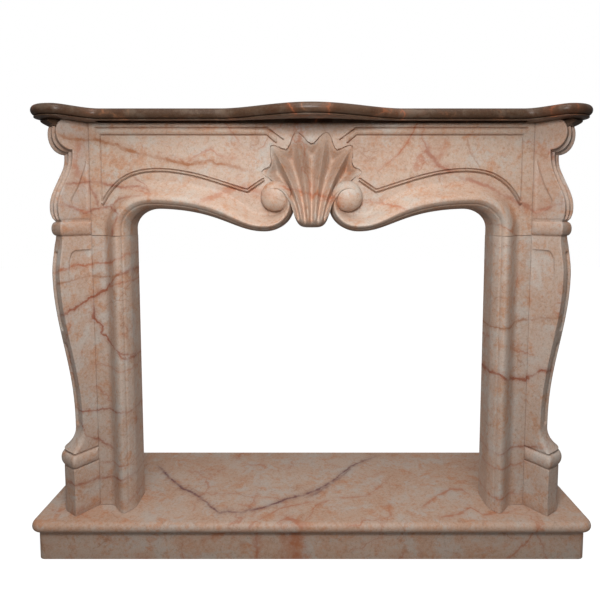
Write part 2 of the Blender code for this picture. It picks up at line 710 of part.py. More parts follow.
def build_console(side, name, marble):
    """The leg and, above the seam, the corbel."""
    leg = loft(name + "_leg", leg_sections(side), marble)
    corbel = loft(name + "_corbel", corbel_sections(side), marble)
    panel_top = LEG_FLUTE_TOP + FLUTE_END / 2
    foot = panel_top - LEG_FIELD_HEIGHT
    outline = [(CHEEK_NEAR, foot, CHEEK_FADE), (leg_reach(foot) - LEG_FIELD_MARGIN, foot, CHEEK_FADE)]
    for rise in spread(foot + LEG_FIELD_SLOPE, panel_top - LEG_FIELD_CORNER, 4):
        outline.append((leg_reach(rise) - LEG_FIELD_MARGIN, rise, CHEEK_SINK))
    corner = leg_reach(panel_top) - LEG_FIELD_MARGIN - LEG_FIELD_CORNER
    for angle in spread(math.pi / 6, math.pi / 2, 3):
        outline.append((corner + LEG_FIELD_CORNER * math.cos(angle),
                        panel_top - LEG_FIELD_CORNER * (1 - math.sin(angle)), CHEEK_SINK))
    outline.append((CHEEK_NEAR, panel_top, CHEEK_SINK))
    outline = [(along, SLAB_TOP + rise, sink) for along, rise, sink in outline]
    sink_cheek(side, leg, name + " leg field guide", outline, marble)
    drop = [(0.08, 0.0), (0.43, 0.01), (0.78, 0.07), (0.92, 0.12), (1.0, 0.20), (0.90, 0.28),
            (0.60, 0.47), (0.27, 0.78), (0.08, 1.0)]
    outline = [(DROP_REACH * along, FRIEZE_FOOT + DROP_FOOT + DROP_HEIGHT * rise, CHEEK_SINK)
               for along, rise in drop]
    sink_cheek(side, corbel, name + " corbel field guide", outline, marble)


def build_return(side, name, marble):
    """The plain slab from the console back to the wall."""
    outer = SEAM_X + RETURN_PROUD
    inner = outer - RETURN_THICKNESS
    outline = [(inner, STONE_BACK_Y + SEAM), (outer, STONE_BACK_Y + SEAM), (outer, WALL), (inner, WALL)]
    if side < 0:
        outline = mirrored(outline)
    prism(name, outline, SLAB_TOP + SEAM, FRIEZE_TOP - SEAM / 2, marble)


# Shelf


def shelf_bulge(x, start, reach):
    """Depth of a line that swells forward in the middle."""
    share = 0.5 + 0.5 * math.cos(math.pi * min(abs(x) / SHELF_BULGE_HALF_WIDTH, 1.0))
    return start + reach * share ** 0.8


def shelf_half_outline():
    """The right half of the shelf's plan, from the middle of the front to the wall."""
    points = [(x, shelf_bulge(x, SHELF_DEPTH, SHELF_BULGE))
              for x in spread(0, SHELF_BULGE_HALF_WIDTH, 10)[1:]]
    centre_x, centre_depth = SEAM_X + SHELF_EAR_OUTSET, SHELF_EAR_DEPTH
    points.append((SHELF_EAR_START, SHELF_DEPTH))
    first = math.radians(99)
    last = CONSOLE_ANGLE - math.pi / 2
    for angle in spread(first, last, 9):
        points.append((centre_x + SHELF_EAR_RADIUS * math.cos(angle),
                       centre_depth + SHELF_EAR_RADIUS * math.sin(angle)))
    end_x, end_depth = points[-1]
    run = max(end_x - SHELF_SIDE, 0.001) / math.cos(CONSOLE_ANGLE)
    points.append((SHELF_SIDE, end_depth - run * math.sin(CONSOLE_ANGLE)))
    points.append((SHELF_SIDE, 0.0))
    return points


def inset_loop(outline, inset, height):
    """The plan outline moved inward, with its back kept against the wall."""
    count = len(outline)
    loop = []
    for index, point in enumerate(outline):
        here = Vector(point)
        before = (here - Vector(outline[index - 1])).normalized()
        after = (Vector(outline[(index + 1) % count]) - here).normalized()
        along = (before + after).normalized()
        stretch = 1.0 / max(along.dot(before), 0.3)
        moved = here + Vector((-along.y, along.x)) * inset * stretch
        y = WALL if here.y > WALL - 0.0001 else moved.y
        loop.append((moved.x, y, height))
    return loop


def build_shelf(marble):
    """The serpentine shelf: a roll, a quirk and a thin fillet round a flat underside."""
    right = [(x, from_wall(depth)) for x, depth in shelf_half_outline()]
    outline = [(0.0, from_wall(SHELF_DEPTH + SHELF_BULGE))] + right
    outline += [(-x, y) for x, y in reversed(right)]
    underside = FRIEZE_TOP + SEAM / 2
    radius = SHELF_ROLL_RADIUS
    loops = [inset_loop(outline, SHELF_FILLET_INSET + 0.001, underside),
             inset_loop(outline, SHELF_FILLET_INSET, underside + 0.0035),
             inset_loop(outline, radius + 0.003, underside + 0.0045)]
    for angle in spread(-math.pi / 2, math.pi / 2, 7):
        loops.append(inset_loop(outline, radius - radius * math.cos(angle),
                                SHELF_TOP - radius + radius * math.sin(angle)))
    shelf = loft("mantel_shelf", loops, marble)
    half = SHELF_EAR_START
    front = [(x, from_wall(shelf_bulge(x, DRIP_FRONT, DRIP_BULGE)))
             for x in spread(-SHELF_BULGE_HALF_WIDTH, SHELF_BULGE_HALF_WIDTH, 15)]
    drip = [(-half, from_wall(DRIP_FRONT))] + front + [(half, from_wall(DRIP_FRONT))]
    drip += [(half, FACE_Y - 0.006), (-half, FACE_Y - 0.006)]
    tool = prism("drip groove guide", drip, underside - 0.01, underside + DRIP_RISE, marble)
    combine(shelf, [tool], "DIFFERENCE")


def build():
    """Make every stone."""
    clear_scene()
    build_hearth(make_marble("hearth marble", HEARTH_MARBLE, 0.30))
    upright = make_marble("upright marble", PALE_MARBLE, 0.35)
    carved = make_marble("carved marble", ROSE_MARBLE, 0.35)
    for side, name in ((-1, "left"), (1, "right")):
        build_jamb(side, name + "_jamb", upright)
        build_console(side, name, upright)
        build_return(side, name + "_return", upright)
    build_frieze(carved)
    build_shelf(make_marble("shelf marble", SHELF_MARBLE, 0.30))


build()
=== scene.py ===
"""Dresses the marble mantel: fine stone surfaces, veined marble, a plain studio and the camera.

Metres, +Z up, the wall behind at +Y. Depths are measured forward from the wall, and widths from
the middle plane. Paired stones are worked out for the right side and turned over for the left.
"""
from __future__ import annotations

import logging
import math
from collections.abc import Callable
from dataclasses import dataclass, field
from enum import Enum
from functools import reduce
from typing import Any

import bmesh
import bpy
import numpy as np
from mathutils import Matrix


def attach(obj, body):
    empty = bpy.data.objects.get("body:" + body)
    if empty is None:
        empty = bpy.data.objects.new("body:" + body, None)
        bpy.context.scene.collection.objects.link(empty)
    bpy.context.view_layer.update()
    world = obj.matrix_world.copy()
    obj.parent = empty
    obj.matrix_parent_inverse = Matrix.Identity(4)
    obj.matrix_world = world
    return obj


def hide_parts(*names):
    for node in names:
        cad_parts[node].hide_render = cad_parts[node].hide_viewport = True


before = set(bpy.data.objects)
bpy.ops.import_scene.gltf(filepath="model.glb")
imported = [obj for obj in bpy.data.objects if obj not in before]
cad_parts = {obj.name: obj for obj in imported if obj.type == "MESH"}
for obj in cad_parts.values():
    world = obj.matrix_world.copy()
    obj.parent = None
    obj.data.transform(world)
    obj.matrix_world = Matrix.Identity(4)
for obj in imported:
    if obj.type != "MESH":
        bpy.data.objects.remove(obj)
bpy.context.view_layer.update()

LOG = logging.getLogger("mantel")
TINY = 1e-12
CONSOLE_ANGLE = math.radians(54)


class Side(Enum):
    """Which half of the mantel a paired stone stands on, as the sign of its X."""

    LEFT = -1
    RIGHT = 1

    @property
    def word(self) -> str:
        """The side's name, as the nodes spell it."""
        return self.name.lower()


class Flutes(Enum):
    """How the outer band of a console is fluted: (start, end, flatness) across the band."""

    NONE = ()
    ONE = ((0.46, 0.90, 0.40),)
    TWO = ((0.06, 0.47, 0.8), (0.53, 0.94, 0.8))


@dataclass(frozen=True)
class Datum:
    """Levels and planes that the stones share."""

    seam: float = 0.0003
    slab_top: float = 0.115
    frieze_foot: float = 0.921
    frieze_top: float = 1.239
    shelf_top: float = 1.272
    wall_y: float = 0.2405
    face_y: float = -0.0985
    back_y: float = -0.0315
    opening_edge: float = 0.520
    seam_x: float = 0.632
    joint_height: float = 0.0008
    joint_depth: float = 0.0030

    def from_wall(self, depth: np.ndarray | float) -> np.ndarray | float:
        """The Y of a plane this far forward from the wall."""
        return self.wall_y - depth


DATUM = Datum()


# Formulas shared by the stones


def ease(share: np.ndarray | float) -> np.ndarray:
    """Half a cosine wave, which rises from 0 to 1 with level ends."""
    return 0.5 - 0.5 * np.cos(np.pi * np.clip(share, 0.0, 1.0))


def joined(*axes: np.ndarray | float) -> np.ndarray:
    """Points from their coordinates, which are stretched to one shape first."""
    return np.stack(np.broadcast_arrays(*axes), axis=-1)


def unit(vectors: np.ndarray) -> np.ndarray:
    """Vectors brought to a length of 1."""
    return vectors / np.maximum(np.linalg.norm(vectors, axis=-1, keepdims=True), TINY)


def quarter_turn(vectors: np.ndarray) -> np.ndarray:
    """Plane vectors turned a quarter to the left."""
    return joined(-vectors[..., 1], vectors[..., 0])


def bezier(start: np.ndarray, first: np.ndarray, second: np.ndarray, end: np.ndarray,
           share: np.ndarray) -> np.ndarray:
    """Points of a cubic curve with these controls, at shares of its run."""
    share = share[:, None]
    weights = ((1 - share) ** 3, 3 * share * (1 - share) ** 2, 3 * share ** 2 * (1 - share), share ** 3)
    return sum(weight * control for weight, control in zip(weights, (start, first, second, end)))


def grid_quads(rows: int, columns: int, wrap: bool) -> np.ndarray:
    """Corner numbers of each cell of a grid of points.

    Args:
        rows: how many rows of points there are.
        columns: how many points a row has.
        wrap: whether the last column meets the first one again.

    Returns:
        An array of four corner numbers for each cell.
    """
    across = np.arange(columns if wrap else columns - 1)
    start = np.arange(rows - 1)[:, None] * columns
    low, high = start + across, start + (across + 1) % columns
    return np.stack([low, high, high + columns, low + columns], axis=-1).reshape(-1, 4)


def inside_distance(points: np.ndarray, outline: np.ndarray) -> np.ndarray:
    """Distance to a closed outline, positive inside it and negative outside.

    The distance is the least over the outline's edges, and a point is inside where a ray from it
    crosses the outline an odd number of times.

    Args:
        points: an array that ends in two coordinates.
        outline: corners of the outline, as (count, 2).

    Returns:
        One signed distance for each point.
    """
    flat = points.reshape(-1, 1, 2)
    start = outline[None]
    edge = np.roll(outline, -1, axis=0)[None] - start
    offset = flat - start
    share = np.clip((offset * edge).sum(-1) / np.maximum((edge ** 2).sum(-1), TINY), 0, 1)
    distance = np.linalg.norm(offset - share[..., None] * edge, axis=-1).min(1)
    end = start + edge
    straddles = (start[..., 1] > flat[..., 1]) != (end[..., 1] > flat[..., 1])
    height = np.where(np.abs(edge[..., 1]) < TINY, TINY, edge[..., 1])
    crossing = start[..., 0] + offset[..., 1] * edge[..., 0] / height
    inside = (straddles & (flat[..., 0] < crossing)).sum(1) % 2 == 1
    return np.where(inside, distance, -distance).reshape(points.shape[:-1])


@dataclass
class Stone:
    """One stone's surfaces, gathered before they become a mesh."""

    name: str
    points: list[np.ndarray] = field(default_factory=list)
    faces: list[list[int]] = field(default_factory=list)

    def _start(self) -> int:
        """The number that the next point gets."""
        return sum(len(block) for block in self.points)

    def loft(self, loops: np.ndarray) -> None:
        """Add a skin round closed loops, with both ends capped.

        Args:
            loops: points as (loops, points in a loop, 3).
        """
        start = self._start()
        rows, columns = loops.shape[:2]
        self.points.append(loops.reshape(-1, 3))
        self.faces += (grid_quads(rows, columns, True) + start).tolist()
        self.faces.append(list(range(start, start + columns)))
        self.faces.append(list(range(start + (rows - 1) * columns, start + rows * columns)))

    def slab(self, front: np.ndarray, back_y: float) -> None:
        """Add a front surface, its four sides back to a plane, and a flat back there.

        Args:
            front: points as (rows, columns, 3).
            back_y: the Y of the back.
        """
        start = self._start()
        rows, columns = front.shape[:2]
        number = np.arange(rows * columns).reshape(rows, columns)
        border = np.concatenate([number[0], number[1:, -1], number[-1, -2::-1], number[-2:0:-1, 0]])
        back = front.reshape(-1, 3)[border].copy()
        back[:, 1] = back_y
        self.points += [front.reshape(-1, 3), back]
        self.faces += (grid_quads(rows, columns, False) + start).tolist()
        behind = np.arange(len(border)) + rows * columns
        walls = np.stack([border, np.roll(border, -1), np.roll(behind, -1), behind], axis=-1)
        self.faces += (walls + start).tolist()
        self.faces.append((behind + start).tolist())

    def build(self, material: bpy.types.Material, slot: str, nodes: tuple[str, ...],
              sharp: float = 32.0) -> bpy.types.Object:
        """Make the object, shade it smooth and let it stand for its CAD nodes.

        Args:
            material: the stone's marble.
            slot: the record's material slot. It is not used.
            nodes: names of the CAD nodes it stands for.
            sharp: the angle, in degrees, past which an edge stays crisp.

        Returns:
            The new object, with its place in its mesh.
        """
        mesh = bpy.data.meshes.new(self.name)
        mesh.from_pydata(np.concatenate(self.points).tolist(), [], self.faces)
        work = bmesh.new()
        work.from_mesh(mesh)
        bmesh.ops.recalc_face_normals(work, faces=work.faces)
        work.to_mesh(mesh)
        work.free()
        mesh.shade_smooth()
        mesh.set_sharp_from_angle(angle=math.radians(sharp))
        mesh.materials.append(material)
        piece = bpy.data.objects.new(self.name, mesh)
        bpy.context.scene.collection.objects.link(piece)
        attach(piece, "root")
        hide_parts(*nodes)
        LOG.info("%s: %d points, %d faces", self.name, len(mesh.vertices), len(mesh.polygons))
        return piece


def turned(points: np.ndarray, side: Side) -> np.ndarray:
    """Points of the right side, or their mirror image on the left."""
    return points * np.array([side.value, 1.0, 1.0])


# Marble


def math_method(operation: str, swapped: bool = False) -> Callable[..., "Value"]:
    """A method that joins a value to another, in this order or swapped, by one Math node."""

    def join(self: "Value", *others: "Value | float") -> "Value":
        """Add the Math node."""
        terms = (*others, self) if swapped else (self, *others)
        return self.graph.value("ShaderNodeMath", {"operation": operation}, dict(enumerate(terms)))

    return join


class Value:
    """A shader socket that can be reckoned with. Each sum adds one Math node."""

    __add__ = __radd__ = math_method("ADD")
    __sub__ = math_method("SUBTRACT")
    __rsub__ = math_method("SUBTRACT", swapped=True)
    __mul__ = __rmul__ = math_method("MULTIPLY")
    __truediv__ = math_method("DIVIDE")
    __pow__ = math_method("POWER")
    __abs__ = math_method("ABSOLUTE")
    most = math_method("MAXIMUM")

    def __init__(self, graph: "Graph", socket: bpy.types.NodeSocket) -> None:
        """Wrap a socket of a graph's node."""
        self.graph = graph
        self.socket = socket

    def clipped(self) -> "Value":
        """The value held between 0 and 1."""
        settings = {"operation": "ADD", "use_clamp": True}
        return self.graph.value("ShaderNodeMath", settings, {0: self, 1: 0.0})

    def ramp(self, low: float, high: float) -> "Value":
        """0 at low, 1 at high, and a smooth step between them. Low may be the greater one."""
        return self.graph.value("ShaderNodeMapRange", {"interpolation_type": "SMOOTHSTEP"},
                                {"Value": self, "From Min": low, "From Max": high})


class Graph:
    """The nodes of a material or of the world, and the ways that they are added."""

    def __init__(self, owner: bpy.types.Material | bpy.types.World) -> None:
        """Start with the owner's own nodes."""
        owner.use_nodes = True
        self.tree = owner.node_tree

    @property
    def shader(self) -> bpy.types.Node:
        """A material's Principled shader."""
        return self.tree.nodes["Principled BSDF"]

    def node(self, kind: str, settings: dict[str, Any], inputs: dict[Any, Any]) -> bpy.types.Node:
        """Add a node.

        Args:
            kind: the node's type.
            settings: its own settings; stops sets a ramp's stops, as (place, colour).
            inputs: a value, or a socket to link, for each named or numbered input.

        Returns:
            The node.
        """
        node = self.tree.nodes.new(kind)
        for key, setting in settings.items():
            if key == "stops":
                self._set_stops(node.color_ramp, setting)
            else:
                setattr(node, key, setting)
        for key, given in inputs.items():
            self.feed(node.inputs[key], given)
        return node

    @staticmethod
    def _set_stops(ramp: bpy.types.ColorRamp, stops: list[tuple[float, tuple[float, ...]]]) -> None:
        """Give a ramp its stops, which are in order of place."""
        ramp.elements[1].position = stops[-1][0]
        ramp.elements[1].color = stops[-1][1]
        ramp.elements[0].position = stops[0][0]
        ramp.elements[0].color = stops[0][1]
        for place, colour in stops[1:-1]:
            ramp.elements.new(place).color = colour

    def feed(self, socket: bpy.types.NodeSocket, given: Any) -> None:
        """Link a socket to another, or set its value."""
        source = given.socket if isinstance(given, Value) else given
        if isinstance(source, bpy.types.NodeSocket):
            self.tree.links.new(source, socket)
        else:
            socket.default_value = source

    def value(self, kind: str, settings: dict[str, Any], inputs: dict[Any, Any],
              output: str | int = 0) -> Value:
        """Add a node and wrap one of its outputs."""
        return Value(self, self.node(kind, settings, inputs).outputs[output])

    def mix(self, share: Value | float, first: Any, second: Any, blend: str = "MIX") -> Value:
        """Mix two colours: the first at share 0, and the second at share 1."""
        return self.value("ShaderNodeMix", {"data_type": "RGBA", "blend_type": blend},
                          {0: share, 6: first, 7: second}, 2)

    def vector(self, operation: str, *terms: Any) -> Value:
        """Add a Vector Math node over these terms."""
        return self.value("ShaderNodeVectorMath", {"operation": operation}, dict(enumerate(terms)))

    def noise(self, place: Value, scale: float, detail: float, roughness: float = 0.55,
              output: str = "Fac") -> Value:
        """Cloudy noise at a place."""
        inputs = {"Vector": place, "Scale": scale, "Detail": detail, "Roughness": roughness}
        return self.value("ShaderNodeTexNoise", {}, inputs, output)

    def drift(self, place: Value, scale: float, detail: float, roughness: float = 0.55) -> Value:
        """Cloudy noise at a place as a direction, with each part from -0.5 to 0.5."""
        noise = self.noise(place, scale, detail, roughness, "Color")
        return self.vector("SUBTRACT", noise, (0.5, 0.5, 0.5))

    def pushed(self, place: Value, drift: Value, reach: float) -> Value:
        """A place moved along a drift, this many times its length."""
        return self.vector("ADD", place, self.vector("MULTIPLY", drift, (reach, reach, reach)))


class Tint(Enum):
    """Colours of the veins, linear."""

    RUST = (0.42, 0.125, 0.050, 1.0)
    WINE = (0.33, 0.100, 0.052, 1.0)
    EARTH = (0.36, 0.150, 0.070, 1.0)
    PLUM = (0.17, 0.070, 0.068, 1.0)


class Run(Enum):
    """Which way a vein runs: (the axis it runs along, the axis that its path is drawn on)."""

    ALONG = ("X", "Z")
    UPWARD = ("Z", "X")
    HEARTH = ("X", "Y")


@dataclass(frozen=True)
class Vein:
    """A seam of colour in the stone. Its knots give (place along it, place across it)."""

    run: Run
    tint: Tint
    width: float
    strength: float
    knots: tuple[tuple[float, float], ...]

    CORE_STRENGTH = 0.95
    STAIN_STRENGTH = 0.50
    STAIN_FALL = 0.20
    LEAST_HEIGHT = 0.001

    def mask(self, graph: Graph, axes: dict[str, Value], swell: Value) -> Value:
        """How strongly the vein colours a point.

        A ramp holds the path: its red channel is the place across, and its green channel the
        strength, which falls to nothing at both ends. The mask falls from 1 on the path to 0 at
        the vein's width, with a wider and fainter stain round it.

        Args:
            graph: the marble's nodes.
            axes: the warped coordinates, by letter.
            swell: how much wider the vein is here.

        Returns:
            A value from 0 to 1.
        """
        along, across = (axes[letter] for letter in self.run.value)
        places, levels = zip(*self.knots)
        first, length = places[0], places[-1] - places[0]
        bottom = min(levels)
        height = max(max(levels) - bottom, self.LEAST_HEIGHT)
        shown = [0.0, *[1.0] * (len(places) - 2), 0.0]
        stops = [((place - first) / length, ((level - bottom) / height, share, 0, 1))
                 for place, level, share in zip(places, levels, shown)]
        ramp = graph.node("ShaderNodeValToRGB", {"stops": stops}, {0: (along - first) / length})
        parts = graph.node("ShaderNodeSeparateColor", {}, {0: ramp.outputs[0]})
        path = Value(graph, parts.outputs[0]) * height + bottom
        distance = abs(across - path) / (swell * self.width)
        core = (1 - distance).clipped() * self.CORE_STRENGTH
        stain = (1 - distance * self.STAIN_FALL).clipped() ** 2 * swell * self.STAIN_STRENGTH
        return (core + stain).clipped() * Value(graph, parts.outputs[1]) * self.strength


def veins(run: Run, tint: Tint, *rows: tuple) -> list[Vein]:
    """Veins of one run and one tint.

    Args:
        run: which way they run.
        tint: their colour.
        rows: for each vein its width, its strength and its knots. Lengths are in millimetres.

    Returns:
        The veins, in metres.
    """
    made = []
    for width, strength, *knots in rows:
        path = tuple((along / 1000, across / 1000) for along, across in knots)
        made.append(Vein(run, tint, width / 1000, strength, path))
    return made


class Cloud(Enum):
    """Noises of the stone: (scale, detail, roughness, how far the drift bends it, its own shift)."""

    BANKS = (6.0, 7.0, 0.62, 0.25, (0.0, 0.0, 0.0))
    PATCHES = (15.0, 6.0, 0.68, 0.12, (0.0, 0.0, 0.0))
    STAINS = (19.0, 7.0, 0.70, 0.12, (5.0, 2.0, 7.0))
    MOTTLE = (52.0, 6.0, 0.70, 0.0, (0.0, 0.0, 0.0))
    SPECKS = (125.0, 4.0, 0.75, 0.0, (0.0, 0.0, 0.0))
    GRAIN = (260.0, 3.0, 0.70, 0.0, (0.0, 0.0, 0.0))


@dataclass(frozen=True)
class Marble:
    """A marble: layers of cloudy colour over rose stone, hairline cracks, and named veins."""

    name: str
    rose: tuple[float, float, float]
    pale: tuple[float, float, float]
    grey: tuple[float, float, float]
    veins: tuple[Vein, ...]
    shift: tuple[float, float, float] = (0.0, 0.0, 0.0)
    gloss: float = 0.42

    DRIFT = (3.2, 3.0)
    WARMTH = (1.00, 0.74, 0.56)
    UMBER = (0.22, 0.12, 0.065)
    DUST = (0.14, 0.09, 0.07)
    # Each layer: its noise, where it begins and where it is full, its strength and its tone
    LAYERS = (
        (Cloud.BANKS, 0.40, 0.60, 1.00, "pale"),
        (Cloud.PATCHES, 0.49, 0.62, 0.88, "grey"),
        (Cloud.STAINS, 0.52, 0.66, 0.80, "warm"),
        (Cloud.MOTTLE, 0.48, 0.70, 0.58, "warm"),
        (Cloud.SPECKS, 0.46, 0.66, 0.42, "grey"),
        (Cloud.SPECKS, 0.48, 0.30, 0.34, "umber"),
        (Cloud.GRAIN, 0.35, 0.75, 0.20, "dust"),
    )
    # Each net of cracks: its scale, its lines' width, their tint and where they begin to show
    CRACKS = ((3.6, 0.016, Tint.RUST, 0.46), (7.5, 0.020, Tint.EARTH, 0.52))
    CRACK_STRENGTH = 0.55
    CRACK_BENDS = (17.0, 5.0, 0.65)
    CRACK_REACH = 0.075
    CRACK_DRIFT = 0.3
    LEAST_CRACK = 0.35
    CRACK_HALO = 4.5
    HALO_STRENGTH = 0.28
    # The noises that make the veins' edges jagged and their colour broken
    JAGS = (34.0, 4.0, 0.70)
    JAG_REACH = 0.022
    BREAKS = (27.0, 4.0, 0.60)
    LEAST_SHOWN = 0.35
    SPECULAR = 0.30
    MOTTLED_ROUGHNESS = 0.14
    BUMP_STRENGTH = 0.05
    BUMP_DISTANCE = 0.002

    def build(self) -> bpy.types.Material:
        """Make the material.

        Returns:
            A material on Object coordinates, so that veins run on from stone to stone.
        """
        material = bpy.data.materials.new(self.name)
        graph = Graph(material)
        place = graph.value("ShaderNodeTexCoord", {}, {}, "Object")
        moved = graph.vector("ADD", place, self.shift)
        drift = graph.drift(moved, *self.DRIFT)
        clouds = self._clouds(graph, moved, drift)
        mottle = clouds[Cloud.MOTTLE]
        warm = tuple(level * share for level, share in zip(self.rose, self.WARMTH))
        tones = {"pale": self.pale, "grey": self.grey, "warm": warm, "umber": self.UMBER,
                 "dust": self.DUST}
        colour = (*self.rose, 1)
        for cloud, low, high, strength, tone in self.LAYERS:
            colour = graph.mix(clouds[cloud].ramp(low, high) * strength, colour, (*tones[tone], 1))
        colour = self._cracks(graph, moved, drift, mottle, colour)
        colour = self._veins(graph, place, mottle, colour)
        bump = graph.value("ShaderNodeBump", {}, {"Height": mottle, "Strength": self.BUMP_STRENGTH,
                                                  "Distance": self.BUMP_DISTANCE})
        roughness = self.gloss + mottle * self.MOTTLED_ROUGHNESS
        for name, given in (("Base Color", colour), ("Roughness", roughness),
                            ("Specular IOR Level", self.SPECULAR), ("Normal", bump)):
            graph.feed(graph.shader.inputs[name], given)
        return material

    @staticmethod
    def _clouds(graph: Graph, place: Value, drift: Value) -> dict[Cloud, Value]:
        """The stone's noises, each bent by the drift as far as it says."""
        clouds = {}
        for cloud in Cloud:
            scale, detail, roughness, reach, shift = cloud.value
            bent = graph.vector("ADD", graph.pushed(place, drift, reach), shift)
            clouds[cloud] = graph.noise(bent, scale, detail, roughness)
        return clouds

    def _cracks(self, graph: Graph, place: Value, drift: Value, mottle: Value, colour: Value) -> Value:
        """Hairlines: thin lines where the warped cells of the stone meet, shown here and there."""
        bent = graph.pushed(place, graph.drift(place, *self.CRACK_BENDS), self.CRACK_REACH)
        bent = graph.pushed(bent, drift, self.CRACK_DRIFT)
        for scale, width, tint, low in self.CRACKS:
            cells = graph.value("ShaderNodeTexVoronoi", {"feature": "DISTANCE_TO_EDGE"},
                                {"Vector": bent, "Scale": scale})
            shown = graph.noise(place, scale * 1.3, 3.0).ramp(low, low + 0.14)
            line = (1 - cells / (width * (self.LEAST_CRACK + mottle))).clipped()
            halo = (1 - cells / (width * self.CRACK_HALO)).clipped() * self.HALO_STRENGTH
            colour = graph.mix((line + halo).clipped() * shown * self.CRACK_STRENGTH, colour, tint.value)
        return colour

    def _veins(self, graph: Graph, place: Value, mottle: Value, colour: Value) -> Value:
        """The named veins, laid over the stone with a jagged edge, a tint at a time."""
        bent = graph.pushed(place, graph.drift(place, *self.JAGS), self.JAG_REACH)
        parts = graph.node("ShaderNodeSeparateXYZ", {}, {0: bent})
        axes = {letter: Value(graph, parts.outputs[letter]) for letter in "XYZ"}
        swell = 0.40 + mottle * 1.2
        shown = graph.noise(place, *self.BREAKS).ramp(0.30, 0.60)
        broken = shown * (1 - self.LEAST_SHOWN) + self.LEAST_SHOWN
        for tint in Tint:
            masks = [vein.mask(graph, axes, swell) for vein in self.veins if vein.tint is tint]
            if masks:
                colour = graph.mix(reduce(Value.most, masks) * broken, colour, tint.value)
        return colour


FRIEZE_VEINS = (
    *veins(Run.ALONG, Tint.EARTH,
           (6, 1, (-700, 1206), (-663, 1188), (-610, 1194), (-571, 1182), (-512, 1160), (-429, 1141),
            (-357, 1123), (-289, 1131), (-242, 1123), (-150, 1098))),
    *veins(Run.ALONG, Tint.RUST,
           (3.5, 0.5, (-400, 1120), (-385, 1147), (-361, 1127), (-309, 1158), (-285, 1166),
            (-253, 1145), (-175, 1131)),
           (11, 0.55, (-345, 1006), (-283, 1028), (-251, 1044), (-210, 1060), (-150, 1048), (-80, 1030)),
           (4, 0.6, (130, 1012), (167, 1015), (200, 1015), (242, 1003), (285, 984)),
           (3.5, 0.6, (505, 962), (525, 952), (554, 936), (610, 914)),
           (4.5, 0.7, (-120, 1075), (-70, 1055), (-10, 1040), (60, 1028), (130, 1020))),
    *veins(Run.ALONG, Tint.WINE,
           (4.5, 0.75, (-690, 1060), (-656, 1070), (-610, 1075), (-562, 1062), (-482, 1058),
            (-440, 1050)),
           (5.5, 0.85, (-690, 1012), (-657, 1000), (-645, 988), (-616, 996), (-580, 1004), (-548, 992),
            (-530, 975)),
           (4, 0.6, (-600, 997), (-580, 1004), (-547, 1024), (-507, 1034), (-430, 1032)),
           (7, 0.65, (390, 1096), (458, 1077), (501, 1061), (535, 1040), (568, 1028), (624, 1003),
            (638, 990), (656, 998), (700, 1020)),
           (5, 0.5, (555, 1034), (568, 1028), (590, 1003), (625, 972))),
    *veins(Run.UPWARD, Tint.WINE,
           (5.5, 0.8, (985, -610), (1020, -612), (1048, -627), (1080, -638)),
           (5, 0.8, (880, -570), (916, -559), (948, -552), (964, -545), (990, -540)),
           (4.5, 0.6, (1015, -450), (1044, -455), (1064, -474), (1079, -498), (1095, -510)),
           (12, 0.7, (1095, 402), (1106, 388), (1123, 362), (1139, 345), (1160, 326), (1200, 322))),
    *veins(Run.UPWARD, Tint.RUST,
           (6, 0.6, (1070, -644), (1097, -655), (1139, -661), (1163, -651), (1195, -648)),
           (3.5, 0.8, (1100, 180), (1131, 220), (1156, 249), (1193, 277), (1234, 297), (1290, 322)),
           (9, 0.55, (1135, 358), (1150, 370), (1180, 377), (1200, 376))),
    *veins(Run.UPWARD, Tint.EARTH,
           (3, 0.5, (1100, 492), (1119, 478), (1148, 457), (1172, 448), (1235, 425))),
)

LEG_VEINS = (
    *veins(Run.ALONG, Tint.RUST,
           (4, 0.85, (-730, 818), (-696, 827), (-665, 838), (-631, 839), (-567, 847), (-470, 895)),
           (4, 0.75, (-590, 768), (-575, 777), (-542, 788), (-470, 802)),
           (3, 0.6, (-640, 246), (-612, 248), (-541, 257), (-500, 262)),
           (3, 0.5, (-660, 548), (-600, 540), (-540, 536), (-480, 540)),
           (3.5, 0.6, (470, 243), (553, 248), (608, 237), (660, 262)),
           (4, 0.7, (470, 160), (556, 157), (589, 154), (640, 148))),
    *veins(Run.ALONG, Tint.EARTH,
           (3.5, 0.7, (-730, 780), (-694, 791), (-669, 799), (-627, 804), (-568, 804), (-480, 830)),
           (4, 0.8, (470, 656), (504, 658), (568, 660), (606, 674), (636, 678), (730, 712))),
    *veins(Run.ALONG, Tint.WINE,
           (5, 0.95, (-730, 690), (-683, 709), (-661, 722), (-634, 745), (-596, 763), (-574, 785),
            (-541, 815), (-460, 845)),
           (4, 0.8, (-560, 590), (-545, 588), (-532, 567), (-500, 567), (-470, 565)),
           (3.6, 0.85, (-720, 425), (-667, 419), (-629, 406), (-569, 412), (-470, 416)),
           (5, 0.7, (-680, 395), (-665, 377), (-646, 333), (-611, 305), (-560, 284)),
           (4.5, 0.75, (-740, 190), (-691, 212), (-672, 206), (-631, 197), (-558, 214), (-500, 222)),
           (6, 0.9, (470, 528), (505, 526), (534, 523), (562, 509), (627, 495), (646, 520), (662, 538),
            (730, 532)),
           (4.2, 0.8, (470, 290), (579, 293), (633, 297), (740, 345))),
    *veins(Run.UPWARD, Tint.WINE,
           (5.2, 0.95, (560, -500), (592, -548), (614, -585), (636, -614), (658, -610), (679, -631),
            (750, -638))),
)

